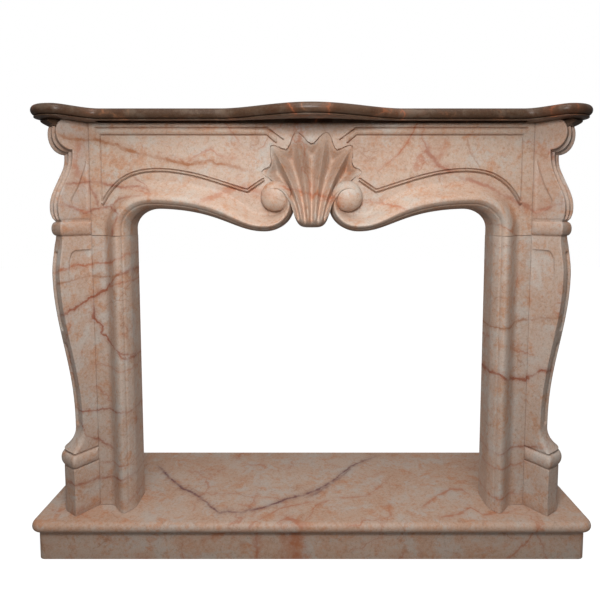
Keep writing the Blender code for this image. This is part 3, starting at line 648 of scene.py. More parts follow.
HEARTH_VEINS = (
    *veins(Run.HEARTH, Tint.PLUM,
           (7.5, 0.95, (-540, 150), (-512, 118), (-464, 56), (-415, -1), (-363, -37), (-334, -63),
            (-296, -113), (-268, -144), (-247, -132), (-206, -140), (-120, -100), (-71, -63),
            (-25, -46), (23, -10), (74, 47), (113, 107), (160, 161), (250, 222)),
           (11, 0.6, (-40, -66), (12, -37), (61, 20), (108, 82), (139, 137), (200, 182))),
    *veins(Run.HEARTH, Tint.RUST,
           (5, 0.7, (-200, -215), (-169, -192), (-125, -152), (-87, -113), (-24, -92), (20, -76)),
           (13, 0.75, (-100, -172), (-67, -169), (-31, -189), (0, -192)),
           (6, 0.7, (-31, -195), (-1, -152), (8, -105), (46, -80), (60, -70)),
           (6, 0.65, (320, -115), (340, -100), (390, -48), (442, -9), (476, -14), (500, -60)),
           (5.5, 0.7, (350, -165), (385, -159), (428, -145), (471, -111), (498, -150), (568, -140),
            (640, -100)),
           (4.5, 0.55, (50, -60), (120, -58), (170, -50), (220, 9), (260, 60))),
    *veins(Run.ALONG, Tint.RUST,
           (5, 0.7, (545, -10), (569, 9), (616, 55), (636, 100), (660, 125)),
           (6, 0.5, (-320, 55), (-282, 70), (-186, 98), (-160, 118))),
)

UPRIGHT_MARBLE = Marble("upright marble", (0.565, 0.395, 0.300), (0.61, 0.480, 0.395), (0.60, 0.53, 0.47),
                        LEG_VEINS)
CARVED_MARBLE = Marble("carved marble", (0.55, 0.360, 0.258), (0.59, 0.430, 0.330), (0.57, 0.49, 0.42),
                       FRIEZE_VEINS)
# A darker copy of the carved marble, with the same veins: its darker tone is painted shade on the corbels
# under the shelf.
SHADED_CORBEL_MARBLE = Marble("shaded corbel marble", (0.52, 0.335, 0.240), (0.56, 0.405, 0.315), (0.54, 0.45, 0.39),
                       FRIEZE_VEINS)
HEARTH_MARBLE = Marble("hearth marble", (0.55, 0.345, 0.240), (0.58, 0.420, 0.325), (0.56, 0.46, 0.39),
                       HEARTH_VEINS, shift=(3.1, 0.4, 1.7))
SHELF_MARBLE = Marble("shelf marble", (0.064, 0.031, 0.015), (0.092, 0.050, 0.029), (0.13, 0.088, 0.060),
                      (), shift=(1.3, 2.2, 0.6), gloss=0.30)


# Hearth


@dataclass
class Hearth:
    """The plinth block and the bullnosed slab on it."""

    width: float = 1.596
    depth: float = 0.439
    overhang: float = 0.018
    corner: float = 0.035
    plinth_corner: float = 0.018
    plinth_height: float = 0.085
    arris: float = 0.0022
    least_turn: float = 0.002

    def loops(self, overhang: float, corner: float, inset: np.ndarray, height: np.ndarray) -> np.ndarray:
        """Plan loops: straight sides, a flat back, and two quarter circles at the front.

        Args:
            overhang: how far the plan stays inside the hearth's.
            corner: the front corners' radius.
            inset: how far each loop lies inside the plan.
            height: how high each loop lies.

        Returns:
            Points as (loops, points, 3).
        """
        angle = np.linspace(0.0, np.pi / 2, 17)
        inset = inset[:, None]
        turn = np.maximum(corner - inset, self.least_turn)
        edge = self.width / 2 - overhang - inset
        front = DATUM.from_wall(self.depth - overhang - inset)
        arc_x = edge - turn + turn * np.cos(angle)
        arc_y = front + turn - turn * np.sin(angle)
        back = np.full_like(edge, DATUM.wall_y)
        x = np.concatenate([edge, arc_x, -arc_x[:, ::-1], -edge], axis=1)
        y = np.concatenate([back, arc_y, arc_y[:, ::-1], back], axis=1)
        return joined(x, y, height[:, None])

    def build(self, marble: bpy.types.Material) -> list[bpy.types.Object]:
        """Make both stones.

        Args:
            marble: their finish.

        Returns:
            The plinth and the slab.
        """
        angle = np.linspace(0.0, np.pi / 2, 5)
        inset, rise = self.arris * (1 - np.sin(angle)), self.arris * (1 - np.cos(angle))
        plinth = Stone("plinth_block")
        plinth.loft(self.loops(self.overhang, self.plinth_corner, np.concatenate([inset, inset[::-1]]),
                               np.concatenate([rise, self.plinth_height - DATUM.seam - rise[::-1]])))
        turn = np.linspace(-np.pi / 2, np.pi / 2, 25)
        radius = (DATUM.slab_top - self.plinth_height) / 2
        slab = Stone("hearth_stone")
        slab.loft(self.loops(0.0, self.corner, radius - radius * np.cos(turn),
                             self.plinth_height + radius + radius * np.sin(turn)))
        return [plinth.build(marble, "hearth_marble", ("hearth_plinth",)),
                slab.build(marble, "hearth_marble", ("hearth_slab",))]


# Fire surround


@dataclass
class RollMoulding:
    """The roll moulding round the opening, measured from the opening's edge."""

    crest: float = 0.025
    fall: float = 0.055
    proud: float = 0.0457
    squareness: float = 1.5
    first_angle: float = 0.03
    quirk_depth: float = 0.0022
    quirk_angle: float = 0.95
    quirk_spread: float = 0.085

    @property
    def width(self) -> float:
        """From the opening's edge to the face."""
        return self.crest + self.fall

    def profile(self) -> tuple[np.ndarray, np.ndarray]:
        """Distance from the edge and height over the face, across the moulding.

        The inner side is a quarter of a superellipse up to the crest, with a thin quirk cut into
        it as a bell curve. The outer side falls as half a cosine wave, which meets the face.
        """
        angle = np.linspace(self.first_angle, np.pi / 2, 44)
        share = np.linspace(0.0, 1.0, 18)[1:]
        power = 2 / self.squareness
        quirk = self.quirk_depth * np.exp(-((angle - self.quirk_angle) / self.quirk_spread) ** 2)
        inner, outer = self.crest * (1 - np.cos(angle) ** power), self.crest + self.fall * share
        rising, falling = self.proud * np.sin(angle) ** power - quirk, self.proud * (1 - ease(share))
        return np.concatenate([inner, outer]), np.concatenate([rising, falling])


@dataclass
class Jambs:
    """The upright facings beside the opening."""

    moulding: RollMoulding
    plain_margin: float = 0.05

    # The eased arris at the seam: how far each point lies from it, and how far back
    ARRIS = ((0.003, 0.0), (0.001, 0.0004), (0.0, 0.0015))

    def loops(self) -> np.ndarray:
        """The right jamb's plan, repeated at heights from the slab to the frieze.

        The plan is the opening's reveal, the roll, the flat face with an eased arris at the seam,
        and the back. The first and last loops step back from the face to show the joint.
        """
        across, height = self.moulding.profile()
        edge, seam = DATUM.opening_edge, DATUM.seam_x - DATUM.seam / 2
        inside, behind = np.array(self.ARRIS).T
        x = np.concatenate([[edge, edge], edge + across, seam - inside, [seam]])
        y = np.concatenate([[DATUM.back_y, DATUM.face_y], DATUM.face_y - height, DATUM.face_y + behind,
                            [DATUM.back_y]])
        low, high = DATUM.slab_top + DATUM.seam, DATUM.frieze_foot - DATUM.seam / 2
        plain = np.linspace(low + self.plain_margin, high - self.plain_margin, 9)
        joint = DATUM.joint_height
        levels = np.concatenate([[low, low + joint], plain, [high - joint, high]])
        step = np.zeros((len(levels), 1))
        step[[0, -1]] = DATUM.joint_depth
        return joined(x, y + step * (y < DATUM.back_y), levels[:, None])

    def build(self, marble: bpy.types.Material) -> list[bpy.types.Object]:
        """Make both jambs."""
        made = []
        for side in Side:
            stone = Stone(f"{side.word}_facing")
            stone.loft(turned(self.loops(), side))
            made.append(stone.build(marble, "upright_marble", (f"{side.word}_jamb",)))
        return made


# Frieze


@dataclass
class Arch:
    """The line of the opening's edge over the frieze's foot, and the scroll that ends it."""

    moulding: RollMoulding
    joint_rise: float = 0.0010
    straight_rise: float = 0.005
    spring: float = 0.020
    corner_width: float = 0.068
    crown: float = 0.077
    drop_x: float = 0.136
    drop: float = 0.012
    outer_handle: float = 0.19
    inner_handle: float = 0.09
    scroll_x: float = 0.112
    scroll_rise: float = 0.101
    tightening: float = 0.25
    turn: float = math.radians(215)
    band: float = 0.57
    narrowing: float = 0.3
    least_proud: float = 0.55
    proud_gain: float = 0.75
    sink: float = 0.002
    eye_x: float = 0.110
    eye_rise: float = 0.105
    eye_radius: float = 0.033
    eye_stretch: float = 0.023
    eye_heading: float = math.radians(140)
    eye_proud: float = 0.038
    eye_wall: float = 0.3
    eye_foot: float = 0.9
    eye_roundness: float = 0.95
    eye_flat: float = 0.06
    eye_sink: float = 0.003

    # The stations that lie on the cubic curve
    CURVE = slice(35, 125)

    def stations(self) -> tuple[np.ndarray, np.ndarray, np.ndarray]:
        """The edge on the right side, from the jamb to the end of the scroll.

        It goes straight up, round a quarter ellipse, down a cubic curve with level handles, and
        round a spiral whose radius is r = r0 exp(-tightening * turn).

        Returns:
            Points (count, 2), outward normals (count, 2) and the moulding's scale (count,).
        """
        edge, foot = DATUM.opening_edge, DATUM.frieze_foot
        rise = np.concatenate([[DATUM.seam / 2, self.joint_rise],
                               np.linspace(self.straight_rise, self.spring, 4)[:-1]])
        angle = np.linspace(0, np.pi / 2, 30)[:-1]
        corner = joined(edge - self.corner_width * (1 - np.cos(angle)),
                        foot + self.spring + (self.crown - self.spring) * np.sin(angle))
        share = np.linspace(0, 1, 91)
        start = np.array([edge - self.corner_width, foot + self.crown])
        end = np.array([self.drop_x, foot + self.drop])
        curve = bezier(start, start - [self.outer_handle, 0], end + [self.inner_handle, 0], end, share)
        across, down = self.drop_x - self.scroll_x, self.scroll_rise - self.drop
        turn = np.linspace(0, self.turn, 80)[1:]
        radius = math.hypot(across, down) * np.exp(-self.tightening * turn)
        heading = math.atan2(across, down) - turn
        spiral = joined(self.scroll_x + radius * np.sin(heading),
                        foot + self.scroll_rise - radius * np.cos(heading))
        points = np.concatenate([joined(edge, foot + rise), corner, curve, spiral])
        last = self.band * math.hypot(across, down) / self.moulding.width
        narrowed = ease((share - self.narrowing) / (1 - self.narrowing))
        scale = np.concatenate([np.ones(len(rise) + len(angle)), 1 + (last - 1) * narrowed,
                                self.band * radius / self.moulding.width])
        along = unit(np.gradient(points, axis=0))
        along[0] = (0.0, 1.0)
        return points, -quarter_turn(along), scale

    def sweep(self) -> np.ndarray:
        """The moulding's section carried along the edge, as (stations, section, 3).

        A section is the roll's profile, stretched across by the scale and set out along the
        outward normal. It stays almost as proud where it narrows.
        """
        points, normals, scale = self.stations()
        across, height = self.moulding.profile()
        across = np.concatenate([[0, 0], across, [self.moulding.width] * 2])
        depth = np.concatenate([[0, 0], height, [0, 0]])
        plane = np.full(len(across), DATUM.face_y)
        plane[[0, -1]] = DATUM.back_y - self.sink
        plane[-2] += self.sink
        proud = np.minimum(1.0, self.least_proud + self.proud_gain * scale)[:, None]
        spread = across * scale[:, None]
        loops = joined(points[:, :1] + normals[:, :1] * spread, plane - depth * proud,
                       points[:, 1:] + normals[:, 1:] * spread)
        loops[0, 1:-1, 1] += DATUM.joint_depth
        return loops

    def eye(self) -> np.ndarray:
        """The scroll's eye: rings of a dome on a short wall, stretched up and inward to the roll."""
        angle = np.linspace(0, np.pi / 2 - self.eye_flat, 18)
        size = np.concatenate([[self.eye_foot] * 2, np.cos(angle) ** self.eye_roundness])[:, None]
        dome = self.eye_proud * (self.eye_wall + (1 - self.eye_wall) * np.sin(angle))
        y = np.concatenate([[DATUM.back_y - self.eye_sink, DATUM.face_y], DATUM.face_y - dome])
        turn = np.linspace(0, 2 * np.pi, 49)[:-1]
        stretch = (0.5 + 0.5 * np.cos(turn - self.eye_heading)) ** 1.5
        radius = size * (self.eye_radius + self.eye_stretch * stretch)
        return joined(self.eye_x + radius * np.cos(turn), y[:, None],
                      DATUM.frieze_foot + self.eye_rise + radius * np.sin(turn))


@dataclass
class Shell:
    """The fan of flutes in the middle. A place counts flutes outward from the middle, to 3."""

    foot_width: float = 0.102
    foot_rise: float = 0.0235
    foot_rounding: float = 0.030
    foot_narrowing: float = 0.08
    waist_width: float = 0.125
    waist_rise: float = 0.119
    heart_rise: float = 0.0635
    nose: float = 0.14
    nose_proud: float = 0.062
    rim_proud: float = -0.003
    rim_start: float = 0.88
    rim_fill: float = 0.78
    flute_depth: float = 0.042
    flute_at_foot: float = 0.28
    side_flute: float = 0.3
    scoop_share: float = 0.4
    scoop_start: float = 0.15
    scoop_run: float = 0.5
    scoop_flatness: float = 2.4
    stone_foot: float = 1.040
    stone_fade: float = 0.02
    hollow: float = 0.040
    side_step: float = 0.0004
    under_sink: float = 0.006
    back_sink: float = 0.004
    columns: int = 193

    # Along the rim: where the ribs' tips stand, and how deep each scallop between them is
    MARKS = (-0.5, 0.5, 1.5, 2.5, 3.0)
    TIPS = ((-0.044, 0.291), (0.044, 0.291), (0.115, 0.253), (0.142, 0.180), (0.0995, 0.143))
    SCALLOPS = (0.029, 0.028, 0.020, 0.004)
    # The lips round the rim and the sides: how far out each ring lies, and how proud
    LIP = ((0.0006, -0.0030), (0.0014, -0.0012), (0.0030, 0.0002), (0.0065, 0.0001), (0.0085, -0.0040))
    SIDE_LIP = ((0.0025, 0.0002), (0.0065, 0.0001), (0.0085, -0.0040))

    def rim(self, place: np.ndarray) -> np.ndarray:
        """Rim points at places from 0 to 3: straight from tip to tip, drawn in by a squared sine."""
        marks = np.array(self.MARKS)
        tips = np.array(self.TIPS) + [0.0, DATUM.frieze_foot]
        gap = np.clip(np.searchsorted(marks, place, side="left") - 1, 0, 3)
        share = ((place - marks[gap]) / (marks[gap + 1] - marks[gap]))[..., None]
        point = tips[gap] * (1 - share) + tips[gap + 1] * share
        pull = unit(np.array([0.0, DATUM.frieze_foot + self.heart_rise]) - point)
        return point + pull * np.array(self.SCALLOPS)[gap][..., None] * np.sin(np.pi * share) ** 2

    def plan(self, place: np.ndarray, rise: np.ndarray) -> np.ndarray:
        """Points in the frieze's plane: each rib is a quadratic curve from foot to rim."""
        size = np.abs(place)
        share, rise = size / 3, rise[..., None]
        foot = joined(self.foot_width / 2 * share * (1 - self.foot_narrowing * share ** 4),
                      DATUM.frieze_foot + self.foot_rise + self.foot_rounding * share ** 4)
        waist = joined(self.waist_width / 2 * share, DATUM.frieze_foot + self.waist_rise)
        point = foot * (1 - rise) ** 2 + waist * 2 * rise * (1 - rise) + self.rim(size) * rise ** 2
        point[..., 0] *= np.where(place < 0, -1.0, 1.0)
        return point

    def proud(self, place: np.ndarray, rise: np.ndarray) -> np.ndarray:
        """Height over the face: a rounded nose, ribs that sink to the rim, and cupped flutes.

        At the nose the flutes are cosine waves. Towards the rim they turn into wider scoops, as
        1 - |2 offset|^flatness, and fill up again just before it.
        """
        rounded = np.sqrt(np.clip(1 - (1 - rise / self.nose) ** 2, 0, 1))
        fall = 1 - ease((rise - self.nose) / (1 - self.nose))
        rib = np.where(rise < self.nose, self.nose_proud * rounded,
                       self.rim_proud + (self.nose_proud - self.rim_proud) * fall)
        wave = 0.5 + 0.5 * np.cos(2 * np.pi * place)
        scoop = 1 - np.abs(2 * (place - np.round(place))) ** self.scoop_flatness
        blend = self.scoop_share * ease((rise - self.scoop_start) / self.scoop_run)
        flute = wave * (1 - blend) + scoop * blend
        flute = flute * np.where(np.abs(place) > self.MARKS[3], self.side_flute, 1.0)
        filled = 1 - self.rim_fill * ease((rise - self.rim_start) / (1 - self.rim_start))
        depth = self.flute_depth * (self.flute_at_foot + (1 - self.flute_at_foot) * rise) * filled
        return rib - depth * flute * np.minimum(1.0, rise / self.nose)

    def surface(self) -> np.ndarray:
        """The whole front, as (rows, columns, 3): under the nose, the fan, the rim and its lip."""
        place = np.linspace(-3, 3, self.columns)
        rise = np.concatenate([np.linspace(0, self.nose, 14)[:-1], np.linspace(self.nose, 1.0, 60)])
        places, rises = np.meshgrid(place, rise)
        plan = self.plan(places, rises)
        fan = joined(plan[..., 0], DATUM.face_y - self.proud(places, rises), plan[..., 1])
        under = fan[:1].copy()
        under[..., 1] = DATUM.back_y - self.under_sink
        rim = fan[-1]
        outward = quarter_turn(unit(np.gradient(rim[:, [0, 2]], axis=0)))
        distance, height = np.array(self.LIP).T[..., None]
        lip = joined(rim[:, 0] + outward[:, 0] * distance, DATUM.face_y - height,
                     rim[:, 2] + outward[:, 1] * distance)
        lip[:2, :, 1] = np.minimum(lip[:2, :, 1], rim[:, 1])
        front = np.concatenate([under, fan, lip])
        right = self.side_lip(front[:, -1])
        left = (self.side_lip(front[:, 0] * [-1, 1, 1]) * [-1, 1, 1])[:, ::-1]
        return np.concatenate([left, front, right], axis=1)

    def side_lip(self, edge: np.ndarray) -> np.ndarray:
        """Columns that lead from the shell's right side down to the face and into the stone.

        Beside the nose they go straight back instead, because there is no stone there.

        Args:
            edge: the side's points, from the nose to beyond the rim's lip.

        Returns:
            Points as (rows, columns, 3).
        """
        lips = len(self.LIP)
        outward = -quarter_turn(unit(np.gradient(edge[1:-lips, [0, 2]], axis=0)))
        outward = np.concatenate([outward[:1], outward, np.repeat(outward[-1:], lips, axis=0)])
        share = ease((edge[:, 2] - self.stone_foot) / self.stone_fade)
        columns = []
        for index, (distance, height) in enumerate(self.SIDE_LIP, start=1):
            step = distance * share + self.side_step * index * (1 - share)
            y = (DATUM.face_y - height) * share + (DATUM.face_y + self.hollow) * (1 - share)
            x, z = edge[:, 0] + outward[:, 0] * step, edge[:, 2] + outward[:, 1] * step
            columns.append(joined(x, y, z))
        return np.stack(columns, axis=1)

    def outline(self) -> np.ndarray:
        """The shell's edge in the frieze's plane, as a closed loop of (x, z)."""
        rise = np.linspace(0, 1, 30)
        rim = self.plan(np.linspace(-3, 3, self.columns), np.ones(self.columns))
        right = self.plan(np.full_like(rise, 3.0), rise)[::-1]
        left = self.plan(np.full_like(rise, -3.0), rise)
        return np.concatenate([rim, right[1:], left[:-1]])


@dataclass
class Frieze:
    """The carved stone over the opening: plate, panels, arch mouldings, scrolls and shell."""

    arch: Arch
    shell: Shell
    groove_width: float = 0.0052
    groove_depth: float = 0.0070
    side_groove: float = 0.7
    bead_proud: float = 0.0032
    band_proud: float = 0.0035
    panel_x: float = 0.599
    panel_foot: float = 1.020
    panel_top: float = 1.2065
    band_top: float = 1.2265
    lower_band: float = 0.0088
    steepest: float = 1.9
    scroll_disc: float = 0.058
    shell_foot: float = 1.035
    corner_cover: float = 0.05
    corner_share: float = 0.995
    seam_margin: float = 0.005
    columns: int = 300

    # The panel's lower edge, from the middle out. The CURVED knots lie on one smooth curve
    LOWER_LINE = ((0.0, 1.0980), (0.1398, 1.0830), (0.1847, 1.0530), (0.2240, 1.0655), (0.2763, 1.0812),
                  (0.3335, 1.0985), (0.3856, 1.1078), (0.4379, 1.1106), (0.4904, 1.1065),
                  (0.5327, 1.0915), (0.5650, 1.0650), (0.5985, 1.0198), (0.6400, 1.0198))
    CURVED = slice(2, 12)
    # Beside the shell the upper lines rise from the first of these points to their full height
    INNER_MITRE = (0.1032, 0.1285, 1.1850)
    OUTER_MITRE = (0.0806, 0.1255, 1.1935)
    # Each groove: its row among the guides, and where it starts and ends across
    GROOVES = ((2, 0.135, 0.600), (5, 0.135, 0.600), (8, 0.100, 0.600), (11, 0.078, 0.6124))
    # The bead and the band: the guide under each, and where it starts and ends across
    BEAD = (3, 0.135, 0.600)
    BAND = (9, 0.100, 0.612)
    # The eased arris at the seam: how near to it each step starts, and how far back it goes
    ARRIS = ((0.0015, 0.0004), (0.0005, 0.0012))
    ARRIS_COLUMNS = (0.003, 0.001, 0.0)

    def lower_line(self, x: np.ndarray) -> np.ndarray:
        """Height of the panel's lower edge, drawn through the points that the arch sets."""
        knots_x, knots_z = np.array(self.LOWER_LINE).T
        curve_x = knots_x[self.CURVED]
        curve = np.polynomial.Polynomial.fit(curve_x, knots_z[self.CURVED], 6)
        return np.where((x > curve_x[0]) & (x < curve_x[-1]), curve(x), np.interp(x, knots_x, knots_z))

    def guides(self, x: np.ndarray) -> list[tuple[np.ndarray, int]]:
        """Heights of the lines that rows of the plate follow, and the rows up to the next one.

        Args:
            x: distances from the middle plane.

        Returns:
            Guide heights from the plate's foot to its top, each with a count of rows.
        """
        inner = self.lower_line(x)
        slope = np.minimum(np.sqrt(1 + np.gradient(inner, x) ** 2), self.steepest)
        lower = inner - self.lower_band * slope
        mitres = [np.interp(x, [start, end], [low, high]) for (start, end, low), high in
                  ((self.INNER_MITRE, self.panel_top), (self.OUTER_MITRE, self.band_top))]
        half = self.groove_width / 2
        rows = [(self.foot_line(x) + DATUM.joint_height, 12)]
        for line, stretch, after in ((lower, slope, 3), (inner, slope, 22), (mitres[0], 1.0, 6),
                                     (mitres[1], 1.0, 5)):
            rows += [(line - half * stretch, 2), (line, 2), (line + half * stretch, after)]
        rows.append((np.full_like(x, DATUM.frieze_top - DATUM.seam / 2), 0))
        return rows

    def foot_line(self, x: np.ndarray) -> np.ndarray:
        """The plate's foot, which stays hidden under the moulding, the scroll and the shell.

        It follows the middle of the moulding, a circle behind the scroll, a level behind the
        shell, and a quarter ellipse over the opening's corner.
        """
        arch, foot = self.arch, DATUM.frieze_foot
        points, normals, scale = arch.stations()
        middle = (points + normals * (0.5 * arch.moulding.width * scale)[:, None])[arch.CURVE][::-1]
        drop = np.sqrt(np.clip(self.scroll_disc ** 2 - (x - arch.scroll_x) ** 2, 0, None))
        corner = DATUM.opening_edge - arch.corner_width
        reach = arch.corner_width + self.corner_cover
        height = arch.crown - arch.spring + self.corner_cover
        ellipse = foot + arch.spring + height * np.sqrt(1 - np.clip((x - corner) / reach, 0, 1) ** 2)
        return np.select(
            [x > corner + reach * self.corner_share, x > corner, x < arch.scroll_x - self.scroll_disc,
             x < arch.drop_x],
            [foot + DATUM.seam / 2, ellipse, self.shell_foot, foot + arch.scroll_rise - drop],
            np.interp(x, middle[:, 0], middle[:, 1]))

    def plate(self) -> np.ndarray:
        """The plate's front, as (rows, columns, 3), with its panel lines cut and raised.

        Its columns are even, with more at the panel's upright groove and at the seam. Behind the
        shell it is hollowed out of the way.
        """
        edge, half = DATUM.seam_x - DATUM.seam / 2, self.groove_width / 2
        plain = np.linspace(0, edge - self.seam_margin, self.columns)
        plain = plain[np.abs(plain - self.panel_x) > half * 1.2]
        right = np.sort(np.concatenate([plain, self.panel_x + half * np.array([-1, 0, 1]),
                                        edge - np.array(self.ARRIS_COLUMNS)]))
        guides = self.guides(right)
        rows, kinds = [guides[0][0] - DATUM.joint_height], [-1.0]
        for index, ((line, count), (following, _)) in enumerate(zip(guides, guides[1:])):
            for share in np.linspace(0, 1, count + 1)[:-1]:
                rows.append(line * (1 - share) + following * share)
                kinds.append(index + share)
        rows.append(guides[-1][0])
        kinds.append(len(guides) - 1.0)
        z = np.maximum.accumulate(np.array(rows), axis=0)
        kind = np.array(kinds)[:, None]
        y = self.relief(right, z, kind) + np.where(kind < 0, DATUM.joint_depth, 0.0)
        for near, back in self.ARRIS:
            y = y + np.where(right > edge - near, back, 0.0)
        half_plate = joined(right, y, z)
        whole = np.concatenate([half_plate[:, :0:-1] * [-1, 1, 1], half_plate], axis=1)
        hidden = inside_distance(whole[..., [0, 2]], self.shell.outline()) > 0.0
        whole[..., 1] = np.where(hidden, DATUM.face_y + self.shell.hollow, whole[..., 1])
        return whole

    def relief(self, x: np.ndarray, z: np.ndarray, kind: np.ndarray) -> np.ndarray:
        """The plate's Y.

        A groove's depth is a full cosine wave across its width. The bead between the lower lines
        and the band above the panel swell as half a sine wave.

        Args:
            x: the columns' distances from the middle plane.
            z: the points' heights.
            kind: the rows' places among the guides. 1 to 3 is the lower groove, 4 to 6 the
                panel's foot, 7 to 9 its top and 10 to 12 the band's top.

        Returns:
            One Y for each point.
        """
        cut, swell = np.zeros_like(z), np.zeros_like(z)
        for middle, start, end in self.GROOVES:
            depth = np.where((x > start) & (x < end), 1 - ease(np.abs(kind - middle)), 0.0)
            cut = np.maximum(cut, depth)
        side = self.side_groove * (1 - ease(np.abs(x - self.panel_x) / (self.groove_width / 2)))
        cut = np.maximum(cut, np.where((z > self.panel_foot) & (z < self.panel_top + 0.001), side, 0.0))
        for (foot, start, end), proud in ((self.BEAD, self.bead_proud), (self.BAND, self.band_proud)):
            inside = (kind > foot) & (kind < foot + 1) & (x > start) & (x < end)
            swell += np.where(inside, proud * np.sin(np.pi * (kind - foot)), 0.0)
        return DATUM.face_y + cut * self.groove_depth - swell

    def build(self, marble: bpy.types.Material) -> list[bpy.types.Object]:
        """Make the frieze as one stone."""
        stone = Stone("carved_frieze")
        stone.slab(self.plate(), DATUM.back_y)
        for side in Side:
            stone.loft(turned(self.arch.sweep(), side))
            stone.loft(turned(self.arch.eye(), side))
        stone.slab(self.shell.surface(), DATUM.back_y - self.shell.back_sink)
        return [stone.build(marble, "carved_marble", ("frieze",))]


# Consoles


@dataclass
class Skin:
    """What a console measures at each height, as one value for each height or for all."""

    height: np.ndarray
    reach: np.ndarray
    thickness: np.ndarray | float
    swell: np.ndarray | float
    arris: np.ndarray | float
    rounding: np.ndarray | float
    flute: np.ndarray | float = 0.0
    flare: np.ndarray | float = 0.0
    droop: np.ndarray | float = 0.0

    def columns(self) -> dict[str, np.ndarray]:
        """Each measure as a column, with a row for each height."""
        shape = self.height.shape
        return {name: np.broadcast_to(level, shape)[:, None] for name, level in vars(self).items()}


def stacked(*sections: tuple[np.ndarray | float, ...]) -> list[np.ndarray]:
    """Measures of a console, put together from its sections.

    Args:
        sections: from the foot up, the heights of a section and then each measure there.

    Returns:
        The heights and the measures of the whole, as one array each.
    """
    filled = [np.broadcast_arrays(*map(np.atleast_1d, section)) for section in sections]
    return [np.concatenate(parts) for parts in zip(*filled)]


@dataclass
class Console:
    """What the leg and the corbel share: a plan turned outward from the seam."""

    angle: float = CONSOLE_ANGLE
    cheek_columns: int = 40
    cheek_crowding: float = 0.9
    band_columns: int = 30
    seam_ease_depth: float = 0.0014
    seam_ease_width: float = 0.0035
    flare_width: float = 0.12
    flare_spread: float = 0.25
    return_proud: float = 0.023
    heel_gap: float = 0.010

    def flute_shape(self, share: np.ndarray, flutes: Flutes) -> np.ndarray:
        """Depth across the band, from 0 to 1: each flute is a half sine raised to its flatness."""
        depth = np.zeros_like(share)
        for start, end, flatness in flutes.value:
            inside = np.clip((share - start) / (end - start), 0, 1)
            depth = np.maximum(depth, np.sin(np.pi * inside) ** flatness)
        return depth

    def cheek_relief(self, along: np.ndarray, height: np.ndarray) -> np.ndarray:
        """How deep the cheek is sunk. A plain console's cheek is flat."""
        return np.zeros_like(along)

    def section(self, column: dict[str, np.ndarray], flutes: Flutes) -> tuple[np.ndarray, np.ndarray]:
        """The visible sides at each height.

        They run from the seam along the cheek, round the arris, across the fluted band, round the
        far arris, and back to the heel behind the facing.

        Args:
            column: the console's measures, as columns.
            flutes: how its band is cut.

        Returns:
            Distances along the cheek and across the thickness, as (heights, points).
        """
        swell, flare, arris, rounding = (column[name] for name in ("swell", "flare", "arris", "rounding"))
        far = column["thickness"] + swell + self.flare_spread * flare
        tip = column["reach"] + swell
        start = swell * math.tan(self.angle)
        spread = np.linspace(0, 1, self.cheek_columns) ** self.cheek_crowding
        cheek = start + (tip - arris - start) * spread
        eased = self.seam_ease_depth * (1 - np.clip((cheek - start) / self.seam_ease_width, 0, 1)) ** 2
        sunk = -swell + self.cheek_relief(cheek, np.broadcast_to(column["height"], cheek.shape)) + eased
        turn = np.linspace(0, np.pi / 2, 10)[1:-1]
        across = np.linspace(0, 1, self.band_columns)
        flute = column["flute"] * self.flute_shape(across, flutes)
        edge = tip + flare - rounding
        sine, cosine = math.sin(self.angle), math.cos(self.angle)
        depth = DATUM.back_y - DATUM.face_y - self.heel_gap
        heel = np.maximum((self.return_proud - sine * far) / cosine, (cosine * far - depth) / sine)
        band = tip + flare * ease(across / self.flare_width) - flute
        along = [cheek, tip - arris + arris * np.sin(turn), band, edge + rounding * np.cos(turn), edge, heel]
        sideways = [sunk, arris - swell - arris * np.cos(turn),
                    arris - swell + (far + swell - arris - rounding) * across,
                    far - rounding + rounding * np.sin(turn), far, far]
        return np.concatenate(along, axis=1), np.concatenate(sideways, axis=1)

    def loops(self, skin: Skin, flutes: Flutes) -> np.ndarray:
        """Plan loops at each height, closed along the back and the seam.

        Args:
            skin: the console's measures.
            flutes: how its band is cut.

        Returns:
            The right side's points as (heights, points, 3).
        """
        column = skin.columns()
        along, across = self.section(column, flutes)
        x = DATUM.seam_x + DATUM.seam / 2 + math.cos(self.angle) * along + math.sin(self.angle) * across
        y = DATUM.face_y - math.sin(self.angle) * along + math.cos(self.angle) * across
        seam = np.full_like(x[:, :1], DATUM.seam_x + DATUM.seam / 2)
        back = np.full_like(seam, DATUM.back_y)
        outward = np.concatenate([np.clip(across / across[:, -1:], 0, 1), seam * 0, seam * 0], axis=1)
        x = np.concatenate([seam, x[:, 1:], x[:, -1:], seam], axis=1)
        y = np.concatenate([y, back, back], axis=1)
        return joined(x, y, column["height"] - column["droop"] * outward)


